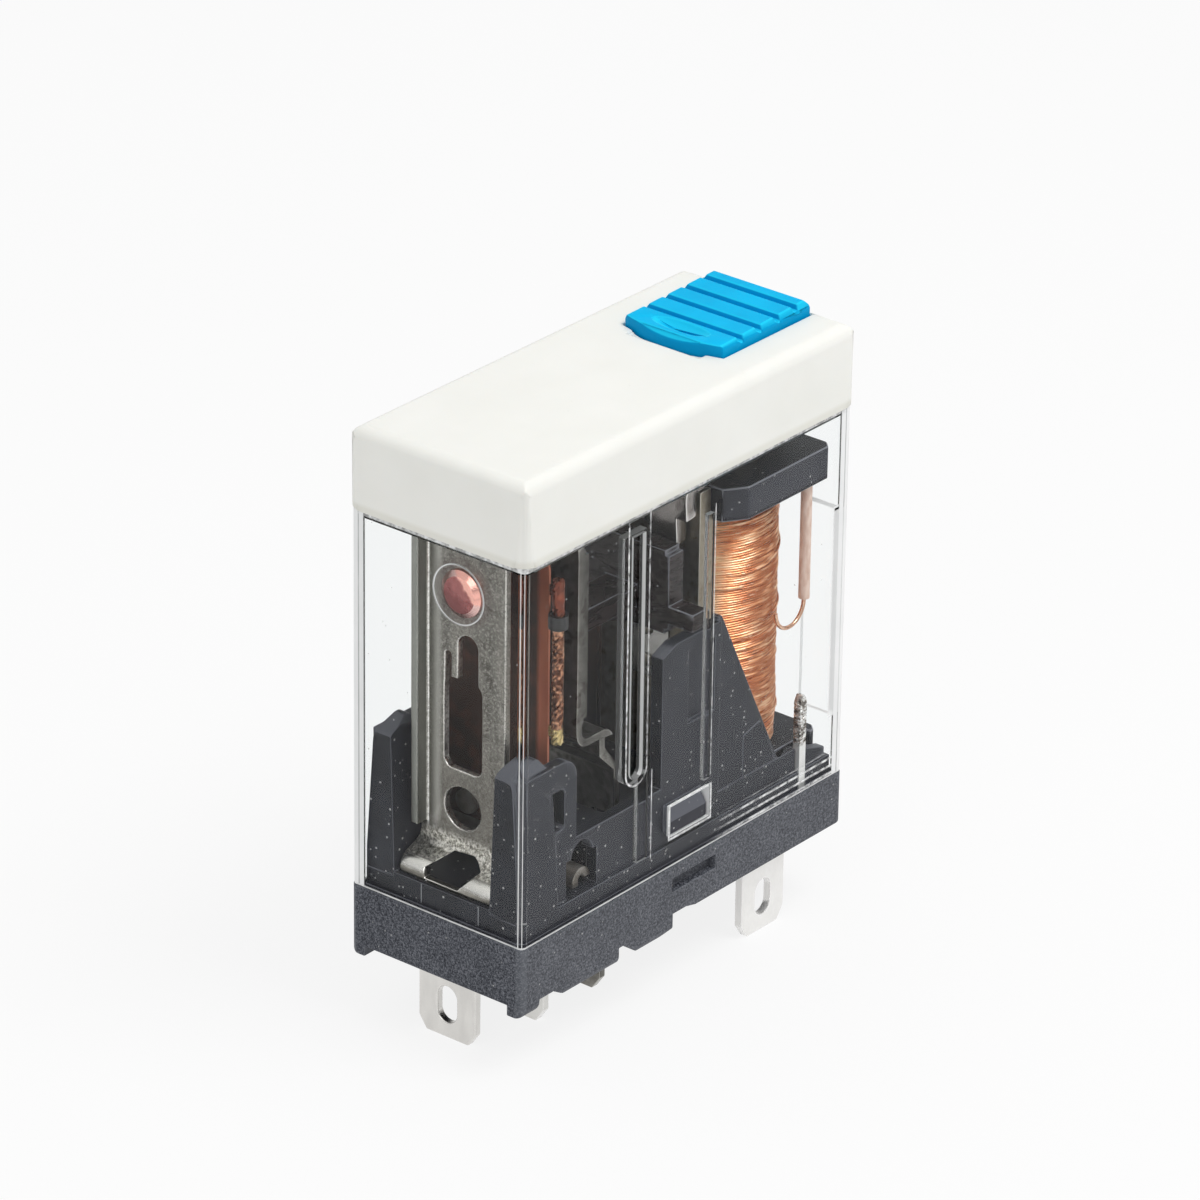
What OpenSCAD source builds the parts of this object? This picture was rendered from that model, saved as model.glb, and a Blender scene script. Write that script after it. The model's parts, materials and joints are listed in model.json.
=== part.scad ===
// Slim plug-in relay: one changeover contact and one coil under a clear case,
// on a black base with five flat blades, with a white cap and a blue test button.
// X runs along the long side towards the coil, Y across it, and Z up.
// The blade tips stand on Z = 0, and heights in the modules count from the feet of the base.

/* [Housing] */
// Length of the base
body_l = 29; // [28:0.5:32]
// Width of the base
body_w = 12.6; // [12.4:0.2:14]
// Height of the base, from its feet to the lower edge of the case
base_h = 4.36; // [4.2:0.1:5.4]
// Height of the clear case that shows below the cap
case_h = 23.24; // [22.8:0.4:26]
// Height of the cap
cap_h = 4.93; // [4.7:0.1:6]
// Wall of the clear case
case_wall = 0.6; // [0.5:0.05:0.7]
// Wall of the cap
cap_wall = 0.95; // [0.8:0.05:1.1]
// How far the foot of the cap stands out past the base
cap_lip = 0.1; // [0:0.05:0.3]
// Radius of the upright corners of the base
corner_r = 0.6; // [0.3:0.1:1]
// Radius along the top edges of the cap
cap_edge_r = 0.8; // [0.4:0.1:1.2]

/* [Blades] */
// How far the blades stand out below the feet
blade_reach = 3.75; // [3.4:0.05:6]
// Width of the outer contact blade
blade_w = 4.15; // [3.8:0.05:4.6]
// Width of the middle and inner contact blades
slim_blade_w = 2.4; // [2.2:0.1:3]
// Width of a coil blade
coil_blade_w = 3.87; // [3.4:0.1:4.4]
// Thickness of the terminal sheet
sheet_t = 0.5; // [0.4:0.05:0.6]
// Pitch of the three contact blades
blade_pitch = 5; // [4.8:0.1:5.3]
// Width of the slot through a blade
slot_w = 1.4; // [1:0.1:1.8]
// Length of the slot through a blade
slot_l = 2.27; // [1.9:0.1:2.6]

/* [Contacts] */
// Width of the outer contact plate
plate_w = 6.04; // [5.6:0.1:6.4]
// Width of the inner contact plate
rear_plate_w = 8.4; // [7.4:0.2:8.6]
// Thickness of the moving contact spring
spring_t = 0.15; // [0.1:0.05:0.25]
// Width of the moving contact spring
spring_w = 7; // [6:0.2:7.2]
// Radius of a contact rivet's face
rivet_r = 1.45; // [1.2:0.05:1.6]
// Height of each face of the moving contact
pad_t = 0.45; // [0.3:0.05:0.55]

/* [Magnet] */
// Radius of the winding
winding_r = 4; // [3.6:0.1:4.2]
// Radius of the iron core
core_r = 2; // [1.6:0.1:2.2]
// Thickness of the yoke
yoke_t = 1; // [0.8:0.1:1.1]
// Width of the yoke and the armature
yoke_w = 7; // [6.4:0.2:7.4]
// Thickness of the armature
armature_t = 0.9; // [0.7:0.1:1]
// Angle by which the armature stands open, in degrees
open_angle = 4; // [3:0.2:4.2]

/* [Test button] */
// Width of the button across the relay
button_w = 7; // [6:0.2:7.6]
// Length of the button
button_l = 8.5; // [8:0.1:8.8]
// How far the button can be pressed
button_travel = 0.6; // [0.5:0.05:0.7]
// Height of the button's rear edge above the cap
button_rise = 0.84; // [0.7:0.02:1]
// Number of finger grooves across the button
groove_count = 4; // [2:1:4]

/* [Hidden] */
$fn = 48;

// Housing
eps = 0.01;
end_x = body_l / 2;
side_y = body_w / 2;
cap_z = base_h + case_h;
top_z = cap_z + cap_h;
case_inset = 0.1;
case_corner_r = 0.35;
case_inner_r = 0.15;
case_x = end_x - case_inset;
case_y = side_y - case_inset;
room_x = case_x - case_wall;
room_y = case_y - case_wall;
plug_gap = 0.1;
plug_x = room_x - plug_gap;
plug_y = room_y - plug_gap;
floor_z = base_h + 1.14;
wall_out = room_y - 0.35;
cap_x = end_x + cap_lip;
cap_y = side_y + cap_lip;
cap_draft = 0.15;
cap_top_t = 1.1;
neck_gap = 0.15;
neck_x = cap_x - cap_wall - neck_gap;
neck_y = cap_y - cap_wall - neck_gap;
roof_t = 0.6;
roof_z = top_z - 2.53;
shoulder_z = cap_z - case_wall;

// Blades and terminals, from the contact end
blade_gap = 0.03;
tip_chamfer = 0.8;
blade_row_x = -end_x + 1;
outer_blade_x = blade_row_x + 0.3;
middle_blade_x = blade_row_x + blade_pitch;
inner_blade_x = middle_blade_x + blade_pitch;
coil_blade_x = end_x - 6.37;
coil_blade_y = plug_y - sheet_t / 2;
slim_blade_y = -1.9;
slot_z = -1.65;
outer_plate_x = blade_row_x + 1.6;
bend_in = 0.5;
foot_bend = 60;
bend_out = bend_in + sheet_t;
foot_w = 6.6;
ledge_z = floor_z + 0.3;
foot_low_z = ledge_z + 0.05;
foot_z = foot_low_z + 0.1;

// Contact heights and the stack of thicknesses along X
contact_z = cap_z - 4.1;
flex_z = base_h + 3.94;
card_z = contact_z - 4.6;
hinge_z = cap_z - 2.55;
drive_drop = 3.2;
card_travel = drive_drop * sin(open_angle);
contact_travel = card_travel * (contact_z - flex_z) / (card_z - flex_z);
touch_gap = 0.04;
joggle = 0.6;
spring_back_x = middle_blade_x - sheet_t / 2 - joggle;
spring_front_x = spring_back_x - spring_t;
outer_face_x = spring_front_x - pad_t - contact_travel - touch_gap;
inner_face_x = spring_back_x + pad_t + touch_gap;
inner_head_t = 1.05;
inner_plate_x = inner_face_x + inner_head_t;
shank_r = 0.75;
shank_gap = 0.02;
plate_top_z = shoulder_z - 0.35;

// Magnet, from the coil end
coil_x = end_x - 5.3;
yoke_x = coil_x - 5.5;
flange_y = wall_out - 0.2;
foot_flange_y = flange_y - 0.5;
flange_back_x = yoke_x + yoke_t + 0.15;
flange_end_x = room_x - 0.06;
top_flange_t = 2.05;
foot_flange_t = 1.55;
foot_flange_z = base_h + 1.04;
winding_foot_z = foot_flange_z + foot_flange_t;
top_flange_z = hinge_z - top_flange_t;
tube_r = core_r + 0.6;
bore_gap = 0.03;
pole_r = core_r + 1;
pole_t = 0.9;
pole_z = hinge_z + 0.1;
yoke_foot_z = base_h + 0.02;
stake_r = 1.2;
leaf_t = 0.15;
stake_z = hinge_z - 11.4;
armature_z = pole_z + 0.03;
armature_end_x = end_x - 1.6;
leg_gap = 0.42;
prong_y = 1.825;
prong_w = 1.85;
prong_end_z = hinge_z - drive_drop - 0.5;

// Test button
button_gap = 0.12;
button_end_x = end_x - 0.7;
button_front_x = button_end_x - button_l;
button_slope = 0.24;
button_bow = 0.55;
flange_t = 0.55;
flange_lip = 0.5;
cap_under_z = top_z - cap_top_t;
stem_x = armature_end_x - 0.9;
stem_r = 0.6;
stem_w = 2.4;
armature_top_z = armature_z + armature_t;
stem_tip_z = armature_top_z + button_travel + 0.04;
groove_pitch = 1.68;
groove_w = 0.55;
groove_d = 0.38;

module lift() {
    translate([0, 0, blade_reach]) children();
}

// A profile drawn in X and Z, made as wide as w along Y
module along_y(w) {
    rotate([90, 0, 0]) linear_extrude(w, center = true) children();
}

// A profile drawn in Y and Z, made as long as l along X
module along_x(l) {
    rotate([90, 0, 90]) linear_extrude(l, center = true) children();
}

module both_sides() {
    children();
    mirror([0, 1, 0]) children();
}

// A block between two corners
module block(low, high) {
    translate(low) cube(high - low);
}

// A rectangle between two corners
module panel(low, high) {
    translate(low) square(high - low);
}

module round_rect(half_x, half_y, r) {
    square([2 * half_x - 2 * r, 2 * half_y], center = true);
    square([2 * half_x, 2 * half_y - 2 * r], center = true);
    for (sx = [-1, 1], sy = [-1, 1])
        translate([sx * (half_x - r), sy * (half_y - r)]) circle(r);
}

// A quarter of a ring, from angle start to start + 90
module quarter_ring(r_in, r_out, start) {
    rotate(start) intersection() {
        difference() {
            circle(r_out);
            circle(r_in);
        }
        square(r_out);
    }
}

// Half of an outline with a draft and rounded upper corners, centred on the first axis
module cap_profile(half, low, high, r) {
    slim = half - cap_draft;
    polygon([[-half, low], [half, low], [slim, high - r], [slim - r, high],
             [r - slim, high], [-slim, high - r]]);
    for (s = [-1, 1]) translate([s * (slim - r), high - r]) circle(r);
}

// Base: the black moulding

// Underside of the long wall: three feet, the notches between them, and the raised coil end
module foot_line() {
    foot_rise = 0.15;
    notch_z = 0.73;
    coil_end_z = 1.06;
    polygon([[-end_x, 0], [1.5 - end_x, 0], [1.6 - end_x, notch_z],
             [2.8 - end_x, notch_z], [3.77 - end_x, foot_rise],
             [8.55 - end_x, foot_rise], [8.55 - end_x, coil_end_z],
             [8.95 - end_x, coil_end_z], [10.2 - end_x, foot_rise],
             [12.2 - end_x, foot_rise], [13.35 - end_x, 0.35],
             [13.35 - end_x, 1.26], [14.55 - end_x, 1.26],
             [15.4 - end_x, coil_end_z], [end_x - 0.3, coil_end_z],
             [end_x, coil_end_z + 0.25], [end_x, base_h], [-end_x, base_h]]);
}

// Underside seen from the contact end: two rounded corner feet and the arch between them
module end_line() {
    arch_z = 0.65;
    foot_y = side_y - 1.1;
    foot_r = 0.55;
    difference() {
        panel([-side_y, 0], [side_y, base_h]);
        panel([-foot_y, -1], [foot_y, arch_z]);
        for (s = [-1, 1]) difference() {
            panel([min(s * (side_y - foot_r), s * side_y), -1],
                  [max(s * (side_y - foot_r), s * side_y), foot_r]);
            translate([s * (side_y - foot_r), foot_r]) circle(foot_r);
        }
    }
}

// Slot in the base for a part of a coil terminal, with its clearance
module coil_slot(x_low, x_high, z_low, z_high) {
    block([x_low - blade_gap, coil_blade_y - sheet_t / 2 - blade_gap, z_low - blade_gap],
          [x_high + blade_gap, coil_blade_y + sheet_t / 2 + blade_gap, z_high + blade_gap]);
}

// Slot in the base for a contact blade, from low upwards, with its clearance
module blade_slot(x, y, w, low) {
    block([x - sheet_t / 2 - blade_gap, y - w / 2 - blade_gap, low],
          [x + sheet_t / 2 + blade_gap, y + w / 2 + blade_gap, shoulder_z]);
}

// Blade slots and the pockets for the coil
module base_cuts() {
    blade_slot(outer_blade_x, 0, blade_w, -1);
    for (x = [middle_blade_x, inner_blade_x]) blade_slot(x, slim_blade_y, slim_blade_w, -1);
    blade_slot(inner_blade_x, 0, blade_w, floor_z);
    both_sides() {
        coil_slot(coil_blade_x - coil_blade_w / 2, coil_blade_x + coil_blade_w / 2, -1, arm_z);
        coil_slot(coil_blade_x, post_x() + post_w / 2, arm_z - arm_h, arm_z);
        coil_slot(post_x() - post_w / 2, post_x() + post_w / 2, arm_z - arm_h, shoulder_z);
    }
    // Room for the yoke and the flange that stands on it
    block([yoke_x - 0.05, -yoke_w / 2 - 0.1, yoke_foot_z],
          [plug_x + 1, yoke_w / 2 + 0.1, shoulder_z]);
    block([flange_back_x - 0.1, -foot_flange_y - 0.05, foot_flange_z],
          [plug_x + 1, foot_flange_y + 0.05, shoulder_z]);
    // Release slots in both long walls, below the latches
    both_sides() block([latch_x + 0.4 - latch_w / 2, side_y - 0.55, base_h - 1.65],
                       [latch_x + 0.4 + latch_w / 2, side_y + 1, base_h - 0.8]);
    // Hollow under the coil end, open downwards
    block([yoke_x + 1, -coil_blade_y + 0.9, -1], [end_x - 1.3, coil_blade_y - 0.9, 2.6]);
    // Hollow under the contacts, between the blades
    for (x = [outer_blade_x, middle_blade_x])
        block([x + 1.2, -3.4, -1], [x + blade_pitch - 1.2, 3.4, 2.4]);
}

latch_x = end_x - 14.2;
latch_w = 3.9;
window_w = 3.5;
window_z = base_h + 1.89;
window_h = 1.9;

// Hook that snaps into the window of the case, with a lead-in slope on top
module latch() {
    nose_y = case_y - 0.12;
    low = window_z + 0.06;
    half = window_w / 2 - 0.1;
    translate([latch_x, 0, 0]) along_x(2 * half)
        polygon([[wall_out - 0.1, low], [nose_y, low], [nose_y, low + 0.8],
                 [room_y - 0.1, low + 1.7], [wall_out - 0.1, low + 1.7]]);
}

// Corner post beside the outer contact plate, with the looped ear along the long wall
module corner_post() {
    post_h = 10.5 + base_h;
    post_d = 2.9;
    front = -plug_x;
    ear_low = base_h + 4.1;
    ear_top = base_h + 9.8;
    ear_end = front + 4.7;
    ear_in = wall_out - 0.75;
    intersection() {
        translate([front + post_d / 2, 0, 0]) along_x(post_d)
            polygon([[3.4, base_h - eps], [plug_y, base_h - eps], [plug_y, base_h + 2.4],
                     [plug_y - 0.45, post_h - 1.2], [plug_y - 0.8, post_h], [3.95, post_h],
                     [3.75, post_h - 0.4]]);
        along_y(2 * side_y)
            polygon([[front, 0], [front + post_d, 0], [front + post_d - 0.15, post_h - 1.1],
                     [front + post_d - 0.9, post_h - 0.1], [front + post_d - 1.1, post_h],
                     [front + post_d - 1.4, post_h], [front + 0.25, post_h - 0.55],
                     [front + 0.05, post_h - 0.75]]);
    }
    translate([0, (ear_in + wall_out) / 2, 0]) along_y(wall_out - ear_in) difference() {
        union() {
            panel([front + 0.3, base_h - eps], [front + 1.55, ear_top]);
            panel([front + 0.3, ear_low + 0.4], [ear_end - 1.2, ear_top]);
            panel([front + 0.3, ear_low], [ear_end - 1, ear_top - 2]);
            panel([front + 0.3, ear_low + 0.4], [ear_end, ear_top - 2]);
            translate([ear_end - 1.2, ear_top - 1.2]) circle(1.2);
            translate([ear_end - 1, ear_low + 1]) circle(1);
            panel([ear_end - 1.2, ear_top - 3], [ear_end, ear_top - 1.2]);
        }
        translate([front + 3, (ear_low + ear_top) / 2]) round_rect(0.62, 1.25, 0.25);
    }
}

// Side wall along the contacts, with the notch that shows a terminal's rolled foot
module contact_wall() {
    wall_x = -end_x + 3.7;
    wall_z = base_h + 4.75;
    stop_x = column_x + 0.1;
    notch_x = middle_blade_x;
    translate([0, wall_out - 0.4, 0]) along_y(0.8) difference() {
        polygon([[wall_x, base_h - eps], [stop_x, base_h - eps], [stop_x, wall_z],
                 [wall_x + 0.6, wall_z], [wall_x + 0.1, wall_z - 0.7]]);
        panel([notch_x - 1.35, floor_z], [notch_x + 1.3, wall_z - 1.3]);
        translate([notch_x, wall_z - 1.3]) circle(0.9);
    }
}

column_x = end_x - 16.1;
column_end_x = end_x - 10.85;
column_z = base_h + 13.4;

// Tall side wall that holds the magnet, with its sunk panel and the gusset beside the coil
module column_wall() {
    wall_t = 0.85;
    gusset_t = 0.6;
    sunk = 0.35;
    gusset_x = end_x - 5.65;
    gusset_z = base_h + 3.3;
    translate([0, wall_out - wall_t / 2, 0]) along_y(wall_t)
        polygon([[column_x, base_h - eps], [column_end_x, base_h - eps],
                 [column_end_x, column_z], [column_x + 1.2, column_z],
                 [column_x, column_z - 0.5]]);
    translate([0, wall_out - 0.1 - gusset_t / 2, 0]) along_y(gusset_t)
        polygon([[column_end_x - 0.2, base_h - eps], [gusset_x + 1.6, base_h - eps],
                 [gusset_x, gusset_z], [column_end_x + 0.15, column_z + 0.2],
                 [column_end_x - 0.2, column_z + 0.2]]);
    // Foot of the gusset, standing a little proud
    translate([0, wall_out - 0.2, 0]) along_y(0.3)
        polygon([[gusset_x - 2.9, base_h - eps], [gusset_x + 0.6, base_h - eps],
                 [gusset_x - 0.4, gusset_z + 0.2], [gusset_x - 1.5, gusset_z + 2.3],
                 [gusset_x - 2.9, gusset_z + 1.9]]);
}

module column_panel() {
    translate([0, wall_out, 0]) along_y(0.7)
        panel([column_end_x - 2.9, column_z - 5.4], [column_end_x - 0.55, column_z - 0.8]);
}

// Low wall round the foot of the coil, sloping down towards the end
module coil_rim() {
    rim_z = base_h + 2.55;
    translate([0, wall_out - 0.35, 0]) along_y(0.7)
        polygon([[column_end_x, base_h - eps], [plug_x - 0.2, base_h - eps],
                 [plug_x - 0.2, rim_z - 0.9], [plug_x - 0.9, rim_z - 0.7],
                 [end_x - 3.9, rim_z], [column_end_x, rim_z]]);
}

// Blocks inside the contact side: the shelf under the outer plate and the barrier by the yoke
module inner_blocks() {
    block([inner_blade_x - 3.6, -wall_out + 0.1, base_h - eps],
          [yoke_x - 0.35, wall_out - 0.1, base_h + 3.4]);
}

module base_core() {
    intersection() {
        along_y(body_w + 2) foot_line();
        along_x(body_l + 2) end_line();
        linear_extrude(base_h) round_rect(end_x, side_y, corner_r);
    }
    block([-plug_x, -plug_y, base_h - eps], [plug_x, plug_y, floor_z]);
    // Ledge under the feet of the outer terminal
    block([-plug_x, -foot_w / 2 - 0.2, floor_z - eps], [outer_plate_x - 0.3, foot_w / 2 + 0.2, ledge_z]);
}

module base() {
    color("#2f3034") lift() difference() {
        union() {
            base_core();
            inner_blocks();
            both_sides() {
                corner_post();
                contact_wall();
                column_wall();
                coil_rim();
                latch();
            }
        }
        both_sides() column_panel();
        base_cuts();
    }
}

// Clear case

rail_x = end_x - 19.1;
rail_w = 1.9;
rail_foot_z = base_h + 6.4;
rib_t = 0.3;

// Channel down the long wall: it bulges inwards and ends in a round cup
module rail(grow, out, in) {
    translate([rail_x, (out + in) / 2, 0]) along_y(out - in) {
        panel([-rail_w / 2 - grow, rail_foot_z + rail_w / 2], [rail_w / 2 + grow, cap_z - 1.4]);
        translate([0, rail_foot_z + rail_w / 2]) circle(rail_w / 2 + grow);
    }
}

module case_ribs() {
    lower_rib_x = rail_x + 0.95;
    upper_rib_x = end_x - 12.4;
    // Thin rib below the channel, and one beside the column
    block([lower_rib_x - 0.45, room_y - rib_t, floor_z + 0.08],
          [lower_rib_x + 0.45, room_y + eps, rail_foot_z + 0.3]);
    block([upper_rib_x - 0.25, room_y - rib_t, window_z + window_h + 0.3],
          [upper_rib_x + 0.25, room_y + eps, cap_z - 2.6]);
    // Guide in each corner of the coil end
    block([room_x - 0.45, room_y - 2.2, base_h + 3.9],
          [room_x + eps, room_y + eps, top_flange_z - 1.7]);
}

module case_shell() {
    difference() {
        union() {
            translate([0, 0, base_h]) linear_extrude(case_h)
                round_rect(case_x, case_y, case_corner_r);
            translate([0, 0, cap_z - eps]) linear_extrude(roof_z - cap_z + eps)
                round_rect(neck_x, neck_y, corner_r);
        }
        translate([0, 0, base_h - 1]) linear_extrude(shoulder_z - base_h + 1)
            round_rect(room_x, room_y, case_inner_r);
        translate([0, 0, shoulder_z - 1]) linear_extrude(roof_z - roof_t - shoulder_z + 1)
            round_rect(neck_x - case_wall, neck_y - case_wall, 0.3);
    }
}

module clear_case() {
    groove_depth = 0.45;
    color("#e8f2f4", 0.35) lift() difference() {
        union() {
            case_shell();
            both_sides() {
                rail(0, room_y + eps, room_y - 0.5);
                case_ribs();
            }
            // Round witness pad on the inside of the contact end
            translate([-room_x - eps, -1.2, contact_z + 0.95]) rotate([0, 90, 0])
                cylinder(r = 1.8, h = 0.12);
        }
        both_sides() {
            rail(-0.4, case_y + 1, case_y - groove_depth);
            block([latch_x - window_w / 2, room_y - 1, window_z],
                  [latch_x + window_w / 2, case_y + 1, window_z + window_h]);
        }
        block([stem_x - stem_r - 0.25, -stem_w / 2 - 0.25, roof_z - 2],
              [stem_x + stem_r + 0.25, stem_w / 2 + 0.25, roof_z + 1]);
    }
}

// Cap

// Outline of the button seen from above, with a bowed front edge
module button_outline(grow) {
    half = button_w / 2;
    bow_r = (half * half + button_bow * button_bow) / (2 * button_bow);
    intersection() {
        panel([button_front_x - grow, -half - grow], [button_end_x + grow, half + grow]);
        translate([button_front_x + bow_r, 0]) circle(bow_r + grow, $fn = 160);
    }
}

module cap_body() {
    intersection() {
        along_y(3 * cap_y) cap_profile(cap_x, cap_z, top_z, cap_edge_r);
        along_x(3 * cap_x) cap_profile(cap_y, cap_z, top_z, cap_edge_r);
        translate([0, 0, cap_z]) linear_extrude(cap_h) round_rect(cap_x, cap_y, 0.9);
    }
}

module cap() {
    seat = 0.9;
    color("#ededea") lift() difference() {
        cap_body();
        translate([0, 0, cap_z - 1]) linear_extrude(cap_under_z - cap_z + 1)
            round_rect(cap_x - cap_wall - 0.04, cap_y - cap_wall - 0.04, 0.5);
        translate([0, 0, cap_z]) linear_extrude(cap_h + 1) button_outline(button_gap);
        // Thumb relief in front of the button
        translate([button_front_x - 0.1, 0, top_z + 0.12]) rotate([90, 0, 0])
            cylinder(r = 0.35, h = button_w - 2 * seat, center = true);
    }
}

// Test button: bevelled slab with finger grooves, an oval scoop, a flange and a stem

module button_side() {
    front_z = top_z + button_rise - button_slope;
    back_z = top_z + button_rise;
    bevel = 0.3;
    low = cap_under_z - flange_t;
    polygon([[button_front_x - 0.1, low], [button_end_x, low], [button_end_x, back_z - bevel],
             [button_end_x - bevel, back_z], [button_front_x + bevel, front_z],
             [button_front_x - 0.1, front_z - bevel - 0.1]]);
}

module button_front() {
    half = button_w / 2;
    crown = top_z + button_rise;
    bevel = 0.3;
    polygon([[-half, 0], [half, 0], [half, crown - bevel - 0.15], [half - bevel, crown + 0.05],
             [bevel - half, crown + 0.05], [-half, crown - bevel - 0.15]]);
}

// A groove: its front wall slopes, its rear wall is steep
module button_groove(x) {
    land_z = top_z + button_rise - button_slope * (button_end_x - x) / button_l;
    along_y(button_w + 2)
        polygon([[x - groove_w, land_z + 0.5], [x - groove_w + 0.05, land_z - groove_d * 0.5],
                 [x - groove_w * 0.5, land_z - groove_d], [x - 0.12, land_z - groove_d],
                 [x, land_z + 0.02], [x + 0.1, land_z + 0.5]]);
}

module button_scoop() {
    scoop_x = button_front_x + 1.2;
    front_z = top_z + button_rise - button_slope;
    translate([scoop_x, 0, front_z + 0.42]) scale([0.75, 2.6, 0.75])
        sphere(r = 0.95, $fn = 32);
}

module button_stem() {
    low = stem_tip_z + stem_r;
    block([stem_x - stem_r, -stem_w / 2, low],
          [stem_x + stem_r, stem_w / 2, cap_under_z - flange_t + eps]);
    translate([stem_x, 0, low]) rotate([90, 0, 0]) cylinder(r = stem_r, h = stem_w, center = true);
}

module test_button() {
    color("#0a9fe0") lift() difference() {
        union() {
            intersection() {
                along_y(button_w + 2) button_side();
                along_x(3 * end_x) button_front();
                translate([0, 0, cap_under_z - flange_t]) linear_extrude(10) button_outline(0);
            }
            // Flange that keeps the button under the cap
            translate([0, 0, cap_under_z - flange_t - 0.05]) linear_extrude(flange_t)
                intersection() {
                    button_outline(flange_lip);
                    panel([-end_x, -side_y], [neck_x - 0.2, side_y]);
                }
            button_stem();
        }
        for (i = [0 : groove_count - 1])
            button_groove(button_end_x - 0.95 - i * groove_pitch);
        button_scoop();
    }
}

// Terminals of folded sheet

// Blade with chamfered corners, seen along its normal
module blade_outline(w, top) {
    polygon([[-w / 2, top], [-w / 2, tip_chamfer - blade_reach],
             [tip_chamfer * 0.7 - w / 2, -blade_reach], [w / 2 - tip_chamfer * 0.7, -blade_reach],
             [w / 2, tip_chamfer - blade_reach], [w / 2, top]]);
}

// Blade with its slot
module blade_face(w, top) {
    difference() {
        blade_outline(w, top);
        round_slot(slot_w, slot_l, slot_z);
    }
}

module round_slot(w, l, z) {
    panel([-w / 2, z - l / 2 + w / 2], [w / 2, z + l / 2 - w / 2]);
    for (s = [-1, 1]) translate([0, z + s * (l / 2 - w / 2)]) circle(w / 2);
}

// Part of a ring, from one angle to another less than 90 degrees on
module ring_part(r_in, r_out, from, to) {
    far = 2 * r_out;
    intersection() {
        difference() {
            circle(r_out);
            circle(r_in);
        }
        polygon([[0, 0], [far * cos(from), far * sin(from)], [far * cos(to), far * sin(to)]]);
    }
}

// Section of the outer terminal: the plate slopes forward to its rolled feet and the blade
module outer_section() {
    roll_r = 0.6;
    front = outer_blade_x - sheet_t / 2;
    roll_out = roll_r + sheet_t;
    roll_x = front + roll_out;
    run_x = outer_plate_x - front - (bend_in + roll_out) * (1 - cos(foot_bend));
    run_z = run_x / tan(foot_bend);
    bend_z = foot_z + run_z + (bend_in + roll_out) * sin(foot_bend);
    start_x = outer_plate_x - bend_in * (1 - cos(foot_bend));
    start_z = bend_z - bend_in * sin(foot_bend);
    back_dx = sheet_t * cos(foot_bend);
    back_dz = sheet_t * sin(foot_bend);
    panel([outer_plate_x, bend_z - eps], [outer_plate_x + sheet_t, plate_top_z]);
    translate([outer_plate_x - bend_in, bend_z]) ring_part(bend_in, bend_out, -foot_bend - 1, 0);
    polygon([[start_x, start_z], [start_x - run_x, start_z - run_z],
             [start_x - run_x + back_dx, start_z - run_z - back_dz],
             [start_x + back_dx, start_z - back_dz]]);
    translate([roll_x, foot_z]) ring_part(roll_r, roll_out, 180 - foot_bend - 1, 180);
    panel([front, -blade_reach], [front + sheet_t, foot_z + eps]);
}

// Front of the outer terminal, with its openings
module outer_front() {
    hole_z = contact_z - 8.3;
    round_z = contact_z - 13.3;
    difference() {
        union() {
            blade_face(blade_w, foot_z + 1);
            polygon([[-foot_w / 2, foot_low_z], [foot_w / 2, foot_low_z],
                     [foot_w / 2, foot_z + 0.95], [plate_w / 2, foot_z + 2.1],
                     [-plate_w / 2, foot_z + 2.1], [-foot_w / 2, foot_z + 0.95]]);
            panel([-plate_w / 2, foot_z + 1], [plate_w / 2 - sheet_t + eps, plate_top_z]);
            panel([0, foot_z + 1], [plate_w / 2, foot_z + 3]);
        }
        translate([0, contact_z]) circle(shank_r + shank_gap);
        // Window, the slot with a round top above it, and the slit beside that
        translate([0, hole_z + 0.1]) round_rect(1.35, 2.8, 0.6);
        panel([-1.05, hole_z + 2], [0.4, hole_z + 5]);
        translate([-0.325, hole_z + 5]) circle(0.725);
        panel([0.87, hole_z + 2.2], [1.31, hole_z + 4.2]);
        translate([1.09, hole_z + 4.2]) circle(0.22);
        translate([0, round_z]) circle(1.3);
        // Six-sided relief between the feet
        polygon([[-1.85, foot_z + 1.15], [-0.9, foot_z + 0.05], [1.45, foot_z + 0.05],
                 [1.55, foot_z + 0.6], [0.5, foot_z + 1.5], [-0.9, foot_z + 1.6]]);
    }
}

module outer_terminal() {
    lip_l = 0.9;
    lip_low = foot_z + 2.75;
    edge_y = plate_w / 2;
    color("#b9b6ad") lift() {
        intersection() {
            along_y(2 * side_y) outer_section();
            translate([outer_blade_x + 1.5, 0, 0]) along_x(6) outer_front();
        }
        // Stiffening lip folded towards the end wall
        translate([0, 0, lip_low]) linear_extrude(plate_top_z - lip_low) {
            translate([outer_plate_x, edge_y - sheet_t]) intersection() {
                circle(sheet_t);
                square(sheet_t);
            }
            panel([outer_plate_x - lip_l, edge_y - sheet_t], [outer_plate_x + eps, edge_y]);
        }
    }
}

// Contact rivet along X, with its face at face_x and its far end riveted over beyond back_x
module contact_rivet(face_x, plate_front, plate_back, dir) {
    head_t = abs(face_x - (dir > 0 ? plate_back : plate_front));
    base_x = dir > 0 ? plate_back : plate_front;
    tail_x = dir > 0 ? plate_front : plate_back;
    tail_t = 0.4;
    s = dir * base_x;
    t = dir * tail_x;
    translate([0, 0, contact_z]) rotate([0, dir * 90, 0]) rotate_extrude()
        polygon([[0, t - tail_t], [rivet_r * 0.4, t - tail_t], [rivet_r * 0.75, t - tail_t * 0.85],
                 [rivet_r * 0.97, t - tail_t * 0.35], [rivet_r, t], [shank_r, t], [shank_r, s],
                 [rivet_r, s], [rivet_r, s + head_t * 0.7], [rivet_r - 0.25, s + head_t * 0.95],
                 [0, s + head_t]]);
}

module outer_contact() {
    color("#b06a5c") lift()
        contact_rivet(outer_face_x, outer_plate_x, outer_plate_x + sheet_t, 1);
}

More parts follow.
